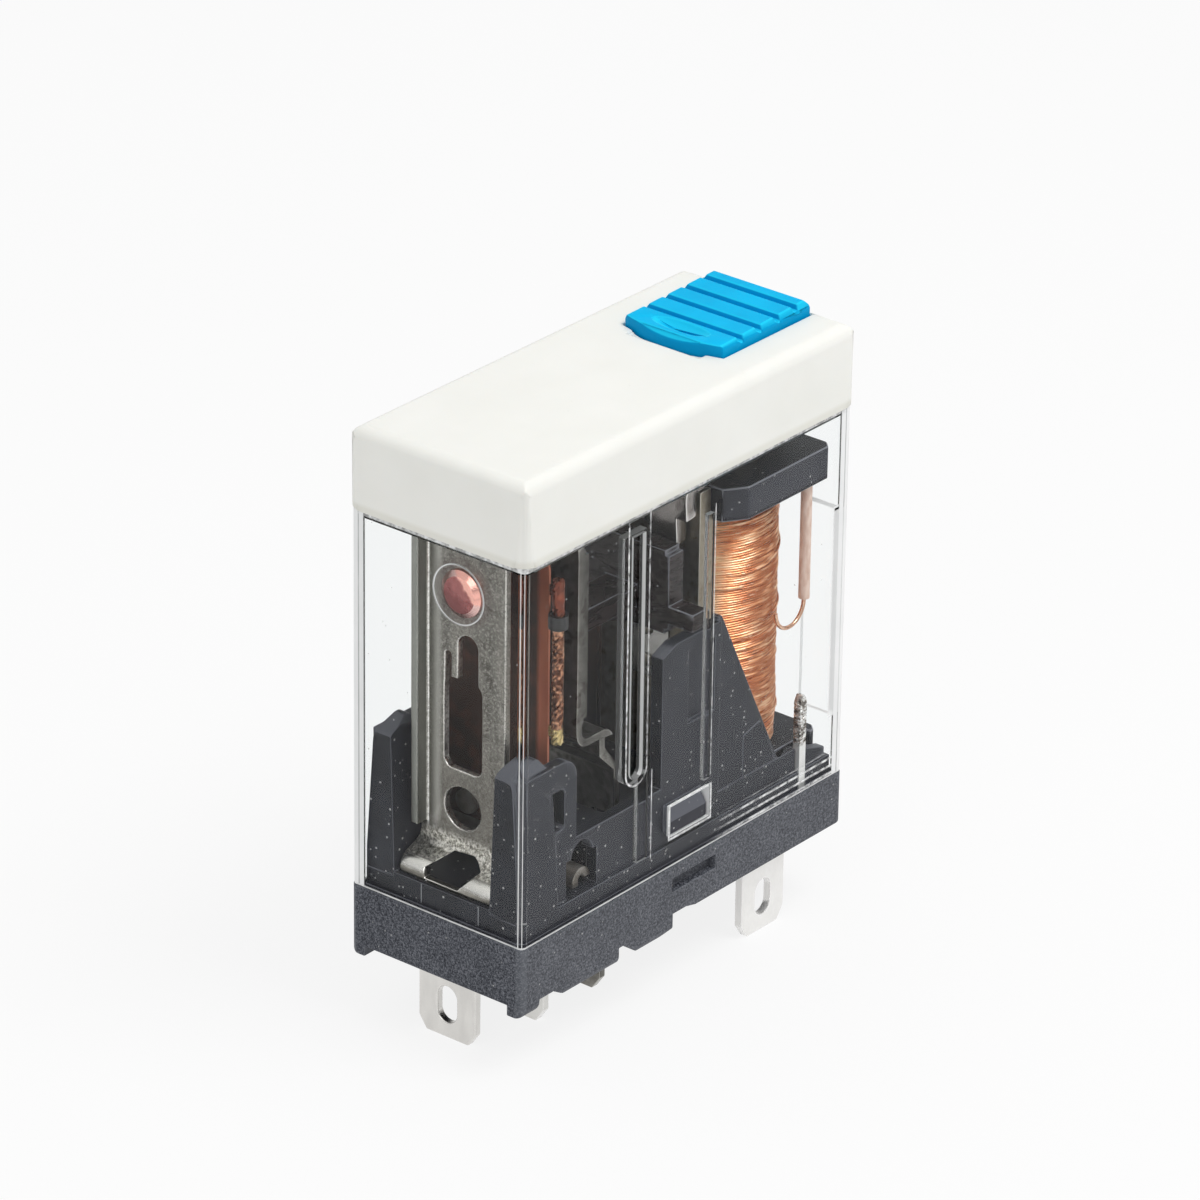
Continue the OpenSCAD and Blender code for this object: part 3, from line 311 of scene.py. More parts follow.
def white_cap_plastic():
    """Warm white cap with a satin moulded skin, darker and yellower towards its foot."""
    f = Finish("white_cap_plastic")
    clouds = f.grain(0.22, 3.0)
    skin = f.grain(9.0, 2.0)
    fine = f.grain(26.0, 1.0)
    dust = f.cells(0.9).under(0.05, 0.03) * f.grain(0.6).over(0.6, 0.08)
    colour = f.tones(clouds, (0.3, (0.845, 0.845, 0.80)), (0.7, (0.875, 0.875, 0.835)))
    foot_z = 31.75
    # Darker and yellower towards the foot.
    colour = f.mix(f.z.under(foot_z, 0.25) * 0.35, colour, tint(0.62, 0.60, 0.50))
    colour = f.mix(dust * 0.25, colour, tint(0.55, 0.54, 0.5))
    relief = f.relief(skin * 0.6 + fine * 0.4, 0.005, 0.6)
    return f.coated(Base_Color=colour, Roughness=0.42 + skin * 0.10, Normal=relief, IOR=1.45,
                    Subsurface_Weight=0.08, Subsurface_Radius=(0.6, 0.5, 0.4), Subsurface_Scale=0.6 * MM)


def blue_button_plastic():
    """Bright blue button with a satin skin, painted shade on faces towards -X and -Y, and a painted highlight
    along its ridges.
    """
    f = Finish("blue_button_plastic")
    clouds = f.grain(0.5, 2.0)
    skin = f.grain(8.0, 2.0)
    colour = f.tones(clouds, (0.3, (0.0, 0.43, 0.77)), (0.7, (0.0, 0.50, 0.86)))
    nx, ny, nz = f.facing()
    # Painted shade on faces that look towards -X, and less on faces towards -Y.
    shaded = nx.under(-0.25, 0.2).larger(ny.under(-0.6, 0.2) * 0.7)
    colour = f.mix(shaded * 0.75, colour, tint(0.0, 0.22, 0.50))
    # Painted highlight along edges that face upwards.
    colour = f.mix(f.edges() * nz.over(0.55, 0.2) * 0.6, colour, tint(0.02, 0.72, 1.0))
    return f.coated(Base_Color=colour, Roughness=0.36 + skin * 0.12, Normal=f.relief(skin, 0.004, 0.5),
                    IOR=1.45, Specular_IOR_Level=0.06)


def outside_wall(f):
    """1 on the outer walls of the case."""
    end_x, side_y = 14.1, 5.95
    return f.x.size().over(end_x, 0.04).larger(f.y.size().over(side_y, 0.04))


def latch_painted_highlights(f, long_wall, broken):
    """Painted highlights on the frames of the latch windows and on the cut walls inside them."""
    centre_x, centre_z, open_x, open_z = 0.3, 10.95, 1.85, 1.05
    frame_x, frame_z, outer_x, outer_z, line = 1.87, 1.07, 1.94, 1.15, 0.07
    ny = f.facing()[1]
    from_x, from_z = (f.x - centre_x).size(), (f.z - centre_z).size()
    uprights = from_x.near(frame_x, line, 0.05) * from_z.under(outer_z, 0.05)
    levels = from_z.near(frame_z, line, 0.05) * from_x.under(outer_x, 0.05)
    mouth = from_x.under(open_x, 0.04) * from_z.under(open_z, 0.04) * ny.size().under(0.5, 0.2) * 0.95
    return mouth.larger(uprights.larger(levels) * long_wall * (0.45 + broken * 0.5))


def rail_painted_highlights(f, long_wall, broken):
    """Painted highlights on the channels that guide the works, with their round feet, and on the ribs beside
    them.
    """
    end_x, roof_z, rail_x, rail_foot_z, rail_reach = 13.3, 31.2, -4.6, 15.46, 0.92
    rib_x, rib_foot_z, rib_top_z = 2.1, 12.6, 29.5
    low_rib_x, low_rib_foot_z, low_rib_top_z = -3.2, 9.3, 15.0
    nx, _, nz = f.facing()
    sides, level = nx.size().over(0.6, 0.1) * 0.12, nz.size().over(0.6, 0.1) * 0.3
    hollow = f.x.size().under(end_x, 0.1) * f.z.under(roof_z, 0.1)
    past_foot = (f.z - rail_foot_z).smaller(0.0)
    from_rail = ((f.x - rail_x) ** 2 + past_foot ** 2) ** 0.5
    outline = from_rail.near(rail_reach, 0.06, 0.05) * long_wall * f.z.under(roof_z, 0.1)
    outline = outline * (0.22 + broken * 0.78) * (1 - f.x.over(rail_x, 0.5) * 0.35)
    rib = f.x.near(rib_x, 0.04, 0.04) * f.z.within(rib_foot_z, rib_top_z, 0.1)
    low_rib = f.x.near(low_rib_x, 0.045, 0.04) * f.z.within(low_rib_foot_z, low_rib_top_z, 0.2)
    ribs = rib.larger(low_rib) * long_wall * (0.3 + broken * 0.5)
    return (sides.larger(level) * hollow).larger(outline).larger(ribs)


def rim_painted_highlights(f, long_wall, outside, broken, uneven):
    """Painted highlights on the shoulder under the cap and on the foot on the base, and painted glints above
    that foot at the coil end.
    """
    foot_z, step_foot_z, step_top_z, shoulder_z = 8.2, 31.0, 31.6, 31.06
    glint_rate, glint_top_z, glint_x = 13.0, 9.7, 4.0
    nz = f.facing()[2]
    shoulder = nz.size().over(0.6, 0.1) * f.z.within(step_foot_z, step_top_z, 0.1)
    shoulder = shoulder.larger(f.z.over(shoulder_z, 0.03) * outside) * (0.35 + broken * 0.55)
    foot = f.z.under(foot_z + 0.02, 0.03) * outside * (0.45 + uneven * 0.6)
    glints = ((f.z - foot_z) * glint_rate).wave().over(0.55, 0.4)
    glints = glints * f.z.under(glint_top_z, 0.3) * f.x.over(glint_x, 4.0)
    return shoulder.larger(foot).larger(glints * long_wall * (0.25 + broken * 0.6))


def corner_painted_light(f, outside, uneven):
    """Where the walls meet: painted highlight lines down each corner, and pale zones of painted light where
    the plastic guides the light.
    """
    corner_x, corner_y, diagonal = 14.0, 5.7, 8.2
    strip_x, strip_y, seam_x, seam_y = 13.42, 5.30, 13.86, 5.66
    guide_x, guide_y, coil_end_x, coil_end_y = 13.2, 3.6, 12.97, 6.1
    pad_from_x, pad_to_x, pad_y = 13.25, 13.9, 5.7
    nx, ny, nz = (n.size() for n in f.facing())
    wide, deep = f.x.size(), f.y.size()
    near_corner = f.x.under(-13.0, 0.2) * f.y.under(-5.0, 0.2)
    turn = wide - deep - diagonal
    lines = turn.size().under(0.03, 0.03).larger(turn.near(0.30, 0.035, 0.03))
    lines = lines.larger(turn.near(-0.42, 0.03, 0.03) * 0.6)
    lines = lines * wide.over(corner_x, 0.04) * deep.over(corner_y, 0.04) * (0.45 + uneven * 0.75)
    strip = wide.over(strip_x, 0.05) * ny.over(0.6, 0.1)
    strip = strip.larger(deep.over(strip_y, 0.05) * nx.over(0.6, 0.1)) * outside
    seam = deep.near(seam_y, 0.04, 0.04).larger(wide.near(seam_x, 0.04, 0.04))
    strip = strip * (1 - near_corner) * (0.94 - seam * (0.2 + uneven * 0.4))
    coil_end = f.x.over(coil_end_x, 0.05) * deep.over(coil_end_y, 0.05) * f.z.within(12.0, 25.1, 0.1)
    strip = strip.larger(coil_end * 0.75)
    guide = ny.over(0.6, 0.1) * wide.over(guide_x, 0.05) * deep.under(guide_y, 0.05) * 0.6
    pad = f.x.within(pad_from_x, pad_to_x, 0.04) * ny.larger(nz).over(0.6, 0.1)
    pad = pad * deep.under(pad_y, 0.04) * f.z.within(11.9, 25.2, 0.05) * 0.85
    return lines.larger(strip).larger(guide).larger(pad)


def clear_case_plastic():
    """Clear polycarbonate, almost colourless, with painted highlights on its cut edges and corners and a
    little pale dust. Lamps reach through it.
    """
    f = Finish("clear_case_plastic")
    swirl = f.grain(0.25, 2.0, twist=0.6)
    uneven = f.grain(0.5, 3.0)
    broken = f.grain(1.6, 3.0, rough=0.7).over(0.5, 0.2)
    outside = outside_wall(f)
    long_wall_y, end_wall_out_x, end_wall_in_x = 6.1, -14.0, -13.6
    long_wall = f.y.size().over(long_wall_y, 0.04)
    # Painted highlight: a pale ring on the rim of the pad round the contact rivet.
    witness_ring_highlight = f.ring(y=-1.2, z=28.2, radius=1.76, width=0.08, soft=0.045)
    witness_ring_highlight = witness_ring_highlight * f.x.within(end_wall_out_x, end_wall_in_x, 0.1) * (0.10 + uneven * 1.3)
    dust = f.specks(1.2, 0.05) * outside * 0.45
    # marks: painted highlights and painted light on frames, rails, rims and corners, plus real dust specks.
    marks = latch_painted_highlights(f, long_wall, broken).larger(rail_painted_highlights(f, long_wall, broken))
    marks = marks.larger(rim_painted_highlights(f, long_wall, outside, broken, uneven))
    marks = marks.larger(corner_painted_light(f, outside, uneven)).larger(witness_ring_highlight).larger(dust)
    ripple = f.relief(swirl, 0.006, 0.5)
    clearness, index = tint(0.985, 0.99, 0.99), 1.5
    water = f.node("ShaderNodeBsdfRefraction", Color=clearness, Roughness=0.01, IOR=index,
                   Normal=ripple).outputs[0]
    glass = f.node("ShaderNodeBsdfPrincipled", Base_Color=clearness, Roughness=0.012, IOR=index,
                   Transmission_Weight=1.0, Normal=ripple).outputs[0]
    # The pale shader carries the painted highlights and the dust.
    highlight_and_dust_tone = f.tones(swirl, (0.3, (0.88, 0.89, 0.89)), (0.7, (0.95, 0.955, 0.955)))
    pale = f.node("ShaderNodeBsdfPrincipled", Base_Color=highlight_and_dust_tone, Roughness=0.3).outputs[0]
    solid = f.shader_mix(marks, f.shader_mix(0.2, water, glass), pale)
    rays = f.node("ShaderNodeLightPath")
    passing = f.value(rays, "Is Shadow Ray").larger(f.value(rays, "Is Diffuse Ray"))
    gap = f.node("ShaderNodeBsdfTransparent", Color=tint(0.96, 0.965, 0.965)).outputs[0]
    return f.done(f.shader_mix(passing, solid, gap))


def metal(name, dark, bright, rough, mottle, streak, pits, stain=None, edge=None, metallic=1.0, extra=None):
    """A plated or rolled metal: patches, drawn lines along one way, a few stains, and edges polished by the
    press, which are less rough and carry a painted highlight in the edge colour."""
    f = Finish(name)
    patches = f.grain(mottle, 4.0, rough=0.62)
    broad = f.grain(mottle * 0.3, 3.0, rough=0.6, twist=0.5)
    lines = f.grain(6.0, 3.0, place=f.stretched(*streak))
    fine = f.grain(mottle * 5, 2.0)
    colour = f.tones(patches * 0.4 + lines * 0.25 + broad * 0.35, (0.33, dark), (0.66, bright))
    if stain is not None:
        spots = f.grain(mottle * 0.35, 3.0, rough=0.7).over(0.60, 0.08)
        colour = f.mix(spots * 0.7, colour, tint(*stain))
    worn = f.edges()
    # Painted highlight: the edge colour lightens eased edges and bends; worn also lowers their roughness.
    if edge is not None:
        colour = f.mix(worn * 0.8, colour, tint(*edge))
    roughness = rough * 0.7 + patches * rough * 0.35 + fine * rough * 0.25 - worn * rough * 0.3
    height = patches * 0.3 + lines * 0.4 + fine * 0.3
    if extra is not None:
        colour, roughness, height = extra(f, colour, roughness, height)
    return f.coated(Base_Color=colour, Metallic=metallic, Roughness=roughness,
                    Normal=f.relief(height, pits, 0.8))


def plate_marks_and_painted_light(f, colour, roughness, height):
    """The outer terminal: long streaks, sandy pits, painted shade lower down, a painted sheen, a lip darkened
    as a painted dark reflection, painted highlights on the bend and the cut edges, a blasted slope, rolled
    feet in painted light and shade, and a bright blade."""
    face_x, lip_y, edge_y, sheen_y, rim_y = -12.0, 2.0, 2.48, 1.95, 2.3
    shade_z, bend_z, slope_top_z, slope_foot_z = 17.5, 12.2, 12.1, 10.62
    roll_top_z, roll_foot_z, blade_z = 10.66, 9.55, 8.6
    nx, _, nz = f.facing()
    streaks = f.grain(0.75, 3.0, place=f.stretched(1.0, 1.0, 0.13))
    sand = f.grain(7.0, 2.0, rough=0.7)
    coarse = f.grain(4.2, 3.0, rough=0.75)
    colour = f.mix(streaks.over(0.52, 0.18) * 0.55, colour, tint(0.27, 0.255, 0.225))
    colour = f.mix(streaks.under(0.42, 0.12) * 0.4, colour, tint(0.07, 0.064, 0.054))
    colour = f.mix(sand.over(0.58, 0.08) * 0.5, colour, tint(0.46, 0.44, 0.40))
    colour = f.mix(sand.under(0.40, 0.08) * 0.5, colour, tint(0.085, 0.078, 0.068))
    shade = f.z.under(shade_z, 5.0) * f.z.over(12.0, 0.4)
    colour = f.mix(shade * 0.45, colour, tint(0.10, 0.09, 0.075))
    sheen = f.y.near(sheen_y, 0.30, 0.4) * f.z.over(12.5, 2.0) * f.x.over(face_x, 0.1)
    colour = f.mix(sheen * 0.75, colour, tint(0.56, 0.55, 0.51))
    # Painted dark reflection: the lip is darkened to a grey.
    lip = f.x.under(face_x, 0.08) * f.z.over(bend_z, 0.1) * f.y.over(lip_y, 0.1)
    lip_dark_reflection = f.tones(streaks, (0.3, (0.19, 0.195, 0.175)), (0.7, (0.30, 0.305, 0.28)))
    colour = f.mix(lip * 0.9, colour, lip_dark_reflection)
    # Painted highlight along the bend where the lip meets the face.
    corner = f.y.near(edge_y, 0.07, 0.05) * f.x.over(face_x - 0.05, 0.05) * f.z.over(bend_z, 0.3)
    colour = f.mix(corner * (0.5 + coarse.over(0.5, 0.2) * 0.5), colour, tint(0.92, 0.91, 0.87))
    # Painted highlight on the cut edges of the window, the slot and the hole.
    cut_edge_highlight = f.y.size().under(rim_y, 0.1) * nx.size().under(0.75, 0.1) * f.z.over(11.9, 0.1)
    colour = f.mix(cut_edge_highlight * (0.45 + coarse.over(0.48, 0.15) * 0.55), colour, tint(0.93, 0.91, 0.86))
    round_rivet = f.ring(y=0.0, z=27.25, radius=1.7, width=0.7, soft=0.4) * f.x.over(face_x, 0.1)
    colour = f.mix(round_rivet * 0.4, colour, tint(0.12, 0.085, 0.08))
    slope = f.z.under(slope_top_z, 0.5) * f.z.over(slope_foot_z, 0.05)
    blasted = f.tones(coarse * 0.6 + sand * 0.4, (0.40, (0.15, 0.14, 0.115)), (0.48, (0.46, 0.44, 0.385)),
                      (0.57, (0.96, 0.93, 0.86)))
    colour = f.mix(slope * 0.85, colour, blasted)
    roll = f.z.within(roll_foot_z, roll_top_z, 0.05)
    # Painted light and shade on the rolled feet: bright where they face partly up, dark below and at the
    # crease.
    turned = f.tones(nz + f.grain(3.0, 2.0, place=f.stretched(1.0, 0.3, 1.0)) * 0.16 - 0.08,
                     (0.05, (0.035, 0.032, 0.027)), (0.22, (0.24, 0.225, 0.195)), (0.42, (0.95, 0.93, 0.88)),
                     (0.66, (0.78, 0.76, 0.71)), (0.90, (0.12, 0.11, 0.09)))
    colour = f.mix(roll * 0.92, colour, turned)
    silver = f.tones(f.grain(0.9, 2.0, place=f.stretched(1.5, 1.5, 0.5)), (0.3, (0.70, 0.685, 0.66)),
                     (0.7, (0.80, 0.785, 0.755)))
    colour = f.mix(f.z.under(blade_z, 0.2) * 0.9, colour, silver)
    return colour, roughness + slope * 0.12, height + slope * coarse * 1.5


def spring_painted_shade(f, colour, roughness, height):
    """The contact spring: red copper along its near edge, brown with painted shade and rougher elsewhere."""
    edge_y = -2.75
    clean = f.y.under(edge_y, 0.3)
    # Painted shade: dull darkens the spring where the plate stands in front of it, and makes it rougher;
    # clean is the near edge outside it.
    dull = (1 - clean) * (0.5 + f.grain(0.9, 3.0).over(0.25, 0.5) * 0.45)
    red = f.tones(f.grain(0.8, 2.0, place=f.stretched(1.0, 1.0, 0.3)), (0.3, (0.40, 0.105, 0.052)),
                  (0.7, (0.58, 0.19, 0.10)))
    colour = f.mix(clean * 0.85, colour, red)
    return f.mix(dull, colour, tint(0.045, 0.026, 0.020)), roughness + dull * 0.2, height


def rivet_light_and_shade(f, colour, roughness, height):
    """A contact: dark red below, as painted shade with a rougher pitted burn, and a painted highlight towards
    the near upper side.
    """
    lit_z, shade_from_z = 27.35, 27.1
    lit = f.z - lit_z - f.y + f.grain(2.0, 3.0) * 0.7
    # Painted highlight: lit is a bright patch towards the near upper side.
    colour = f.mix(lit.over(1.15, 0.25), colour, tint(0.98, 0.50, 0.42))
    # Painted shade with a rougher burn: darker towards the lower side.
    shade_and_burn = (shade_from_z - f.z + f.y * 0.5 + f.grain(1.6, 3.0) * 1.2).over(0.7, 0.8)
    return f.mix(shade_and_burn * 0.6, colour, tint(0.12, 0.035, 0.036)), roughness + shade_and_burn * 0.12, height


def shade_inside_base(f, colour, roughness, height):
    """Tinned pieces: painted shade, brown and duller, where they stand inside the base."""
    base_top_z, shade_top_z = 8.4, 16.0
    # Painted shade on the part inside the base, patchy, fading out higher up.
    inside = f.z.over(base_top_z, 0.6) * f.z.under(shade_top_z, 1.0) * (0.55 + f.grain(1.2, 3.0) * 0.6)
    return f.mix(inside, colour, tint(0.15, 0.125, 0.10)), roughness + inside * 0.15, height


def post_solder(f, colour, roughness, height):
    """Coil terminals: clean blades, and solder with flux stains on the post."""
    post_x, post_z = 10.6, 10.9
    post = f.x.over(post_x, 0.05) * f.z.over(post_z, 0.3)
    lumps = f.grain(3.4, 3.0, rough=0.7)
    solder = f.tones(lumps, (0.40, (0.055, 0.040, 0.030)), (0.48, (0.30, 0.26, 0.22)),
                     (0.54, (0.86, 0.85, 0.83)))
    return f.mix(post * 0.95, colour, solder), roughness, height + post * lumps * 3.0


def shunt_varnish(f, colour, roughness, height):
    """The stranded wire: red-brown varnish above the sleeve, mottled strands below, a painted brass-coloured
    glint at the foot.
    """
    sleeve_top_z, tab_z = 26.35, 19.4
    above = f.z.over(sleeve_top_z, 0.1)
    mottled = f.tones(f.grain(4.2, 3.0, rough=0.7), (0.42, (0.045, 0.015, 0.010)),
                      (0.50, (0.20, 0.075, 0.042)), (0.60, (0.66, 0.38, 0.24)))
    varnish = f.tones(f.grain(3.0, 2.0), (0.35, (0.10, 0.018, 0.012)), (0.65, (0.27, 0.065, 0.036)))
    colour = f.mix(0.85 - above * 0.4, colour, mottled)
    colour = f.mix(above * 0.85, colour, varnish)
    # Painted glint: a bright brass colour at the foot.
    colour = f.mix(f.z.under(tab_z, 0.1) * 0.8, colour, tint(0.74, 0.60, 0.28))
    return colour, roughness - above * 0.12, height


def enamelled_wire():
    """Varnished copper wire, each turn a little lighter or darker than the next. A band that faces the near
    corner is bright, the side past it is in shade, and the top is in the shadow of the flange."""
    f = Finish("enamelled_wire")
    shadow_z, band = 25.85, 0.27
    turns = f.grain(2.6, 2.0, place=f.stretched(0.22, 0.22, 2.6))
    patches = f.grain(0.6, 3.0)
    glints = f.grain(7.0, 2.0, place=f.stretched(0.3, 0.3, 1.0)).over(0.62, 0.08)
    colour = f.tones(turns * 0.7 + patches * 0.3, (0.30, (0.46, 0.13, 0.048)), (0.45, (0.84, 0.30, 0.105)),
                     (0.56, (0.96, 0.50, 0.26)), (0.68, (1.0, 0.78, 0.54)))
    nx, ny, _ = f.facing()
    across = nx * 0.63 - ny * 0.78 + (f.grain(0.9, 3.0) - 0.5) * 0.35
    shade = across.over(0.28, 0.14) * turns.under(0.56, 0.16)
    colour = f.mix(across.near(-0.18, band, 0.25) * 0.65, colour, tint(1.0, 0.82, 0.56))
    colour = f.mix(shade * 0.6, colour, tint(0.33, 0.10, 0.045))
    colour = f.mix(glints * 0.35, colour, tint(1.0, 0.80, 0.58))
    colour = f.mix(f.z.over(shadow_z, 0.35) * 0.75, colour, tint(0.15, 0.062, 0.034))
    return f.coated(Base_Color=colour, Metallic=0.72, Roughness=0.22 + turns * 0.14,
                    Normal=f.relief(f.grain(14.0, 2.0), 0.003, 0.4))


def sleeving(name, dark, bright, rough):
    """Thin insulating tube with a faint weave along it."""
    f = Finish(name)
    weave = f.grain(4.0, 3.0, place=f.stretched(1.0, 1.0, 0.35))
    colour = f.tones(weave, (0.3, dark), (0.7, bright))
    return f.coated(Base_Color=colour, Roughness=rough, Normal=f.relief(weave, 0.01, 0.6))


def piece(name, verts, faces, body, finish, slot, sharp):
    """A piece made in mesh code from places in millimetres, riding on a body of the relay."""
    mesh = bpy.data.meshes.new(name)
    mesh.from_pydata([tuple(c * MM for c in v) for v in verts], [], faces)
    bm = bmesh.new()
    bm.from_mesh(mesh)
    bmesh.ops.recalc_face_normals(bm, faces=bm.faces)
    crease(bm, sharp)
    bm.to_mesh(mesh)
    bm.free()
    return placed(name, mesh, body, finish)


def crease(bm, sharp):
    """Smooth shading, broken where the surface turns by more than an angle."""
    for face in bm.faces:
        face.smooth = True
    for edge in bm.edges:
        edge.smooth = len(edge.link_faces) == 2 and edge.calc_face_angle() < math.radians(sharp)


def placed(name, mesh, body, finish):
    obj = bpy.data.objects.new(name, mesh)
    bpy.context.scene.collection.objects.link(obj)
    mesh.materials.append(finish)
    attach(obj, body)
    return obj


def eased(node, ease, finish, name, steps=2, more=None):
    """The CAD solid with its sharp edges eased by a small radius, as a mould or a worn press tool leaves
    them. A corner that the easing throws off the solid goes back to it."""
    source = frame["nodes"][node]
    weld, sliver = 0.0005 * MM, 0.002 * MM
    flat, eased_turn, sharp_turn = math.radians(0.6), math.radians(25.0), 34.0
    bm = bmesh.new()
    corners = [bm.verts.new(v.co) for v in source.data.vertices]
    for polygon in source.data.polygons:
        bm.faces.new([corners[i] for i in polygon.vertices])
    bmesh.ops.remove_doubles(bm, verts=bm.verts, dist=weld)
    bmesh.ops.recalc_face_normals(bm, faces=bm.faces)
    skin = BVHTree.FromBMesh(bm)
    bmesh.ops.dissolve_degenerate(bm, dist=weld, edges=bm.edges)
    bmesh.ops.dissolve_limit(bm, angle_limit=flat, verts=bm.verts, edges=bm.edges)
    edges = [e for e in bm.edges if len(e.link_faces) == 2 and e.calc_face_angle() > eased_turn]
    bmesh.ops.bevel(bm, geom=edges, offset=ease * MM, offset_type="OFFSET", segments=steps, profile=0.5,
                    affect="EDGES", clamp_overlap=False, loop_slide=True)
    low, high = ([pick(v.co[i] for v in source.data.vertices) for i in range(3)] for pick in (min, max))
    for vert in bm.verts:
        nearest, _, _, far = skin.find_nearest(vert.co)
        if far > 0.45 * ease * MM:
            vert.co = nearest
        vert.co = [min(max(c, a), b) for c, a, b in zip(vert.co, low, high)]
    bmesh.ops.remove_doubles(bm, verts=bm.verts, dist=sliver)
    bmesh.ops.dissolve_degenerate(bm, dist=sliver, edges=bm.edges)
    bmesh.ops.triangulate(bm, faces=[face for face in bm.faces if len(face.verts) > 4])
    bmesh.ops.recalc_face_normals(bm, faces=bm.faces)
    if more is not None:
        add_to(bm, more)
    crease(bm, sharp_turn)
    mesh = bpy.data.meshes.new(name)
    bm.to_mesh(mesh)
    bm.free()
    obj = placed(name, mesh, source["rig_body"], finish)
    shade = obj.modifiers.new("even_shading", "WEIGHTED_NORMAL")
    shade.keep_sharp = True
    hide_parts(node)


def add_to(bm, part):
    """Adds points in millimetres and their faces to a mesh in the making."""
    verts, faces = part
    made = [bm.verts.new([c * MM for c in v]) for v in verts]
    for face in faces:
        bm.faces.new([made[i] for i in face])


def dressed(node, finish):
    """A CAD solid that stays as it is, in its own finish."""
    materials = frame["nodes"][node].data.materials
    materials.clear()
    materials.append(finish)


def photo_camera():
    """The camera that the photograph was taken with, fitted to the relay's corners."""
    azimuth, elevation, roll = (math.radians(a) for a in (-51.027, 25.961, 0.798))
    aim_z, shift_right, shift_up, distance = 3.75, 0.019, 16.698, 409.27
    focal_pixels, picture_pixels, sensor = 7161.0, 1200.0, 36.0
    away = Vector((math.sin(azimuth) * math.cos(elevation), -math.cos(azimuth) * math.cos(elevation),
                   math.sin(elevation)))
    level = Vector((math.cos(azimuth), math.sin(azimuth), 0.0))
    above = away.cross(level)
    right = level * math.cos(roll) + above * math.sin(roll)
    up = above * math.cos(roll) - level * math.sin(roll)
    centre = shift_right * right + shift_up * up + distance * away + Vector((0, 0, aim_z))
    data = bpy.data.cameras.new("photo_camera")
    data.lens, data.sensor_width = sensor * focal_pixels / picture_pixels, sensor
    data.clip_start, data.clip_end = 0.02, 5.0
    camera = bpy.data.objects.new("photo_camera", data)
    camera.matrix_world = Matrix((
        (right.x, up.x, away.x, centre.x * MM),
        (right.y, up.y, away.y, centre.y * MM),
        (right.z, up.z, away.z, centre.z * MM),
        (0, 0, 0, 1)))
    bpy.context.scene.collection.objects.link(camera)
    bpy.context.scene.camera = camera


def studio():
    """A white room: soft light from the sky and the floor, a broad lamp over the long side and a weaker one
    at the contact end. Mirrors and glass see a room that is darker low down."""
    scene = bpy.context.scene
    scene.view_settings.view_transform = "Standard"
    world = bpy.data.worlds.new("white_room")
    scene.world = world
    world.use_nodes = True
    w = Tree(world.node_tree)
    rays = w.node("ShaderNodeLightPath")
    way = w.node("ShaderNodeSeparateXYZ", i0=w.node("ShaderNodeTexCoord").outputs["Generated"])
    dim = 0.45
    room = dim + w.value(way, 2).over(0.45, 0.7) * (1 - dim)
    mirrored = w.value(rays, "Is Glossy Ray").larger(w.value(rays, "Is Transmission Ray"))
    strength = SKY + mirrored * (room - SKY)
    strength = strength + w.value(rays, "Is Camera Ray") * (1 - strength)
    light = w.node("ShaderNodeBackground", Color=tint(1, 1, 1), Strength=strength).outputs[0]
    w.node("ShaderNodeOutputWorld", Surface=light)
    lamp("long_side_lamp", (0.05, -0.15, 0.31), 0.15, LONG_SIDE_WATTS)
    lamp("contact_end_lamp", (-0.30, -0.05, 0.16), 0.16, CONTACT_END_WATTS)
    floor = bpy.data.meshes.new("pale_floor")
    half = 1.5
    corners = [(-half, -half, 0), (half, -half, 0), (half, half, 0), (-half, half, 0)]
    floor.from_pydata(corners, [], [(0, 1, 2, 3)])
    obj = bpy.data.objects.new("pale_floor", floor)
    scene.collection.objects.link(obj)
    f = Finish("pale_floor_paint")
    rays = f.node("ShaderNodeLightPath")
    seen = f.value(rays, "Is Camera Ray").larger(f.value(rays, "Is Transmission Ray"))
    seen = seen.larger(f.value(rays, "Is Glossy Ray"))
    white = f.tones(f.grain(0.02, 2.0), (0.0, (0.82, 0.82, 0.82)), (1.0, (0.86, 0.86, 0.86)))
    paint = f.node("ShaderNodeBsdfDiffuse", Color=white).outputs[0]
    glow = f.node("ShaderNodeEmission", Color=tint(1, 1, 1), Strength=1.0).outputs[0]
    floor.materials.append(f.done(f.shader_mix(seen * 0.84, paint, glow)))


def lamp(name, place, size, power):
    """A square lamp at a place in metres, turned to the middle of the relay."""
    middle = Vector((0, 0, 0.018))
    data = bpy.data.lights.new(name, "AREA")
    data.shape, data.size, data.energy = "SQUARE", size, power
    obj = bpy.data.objects.new(name, data)
    obj.location = place
    obj.rotation_euler = (middle - Vector(place)).to_track_quat("-Z", "Y").to_euler()
    bpy.context.scene.collection.objects.link(obj)


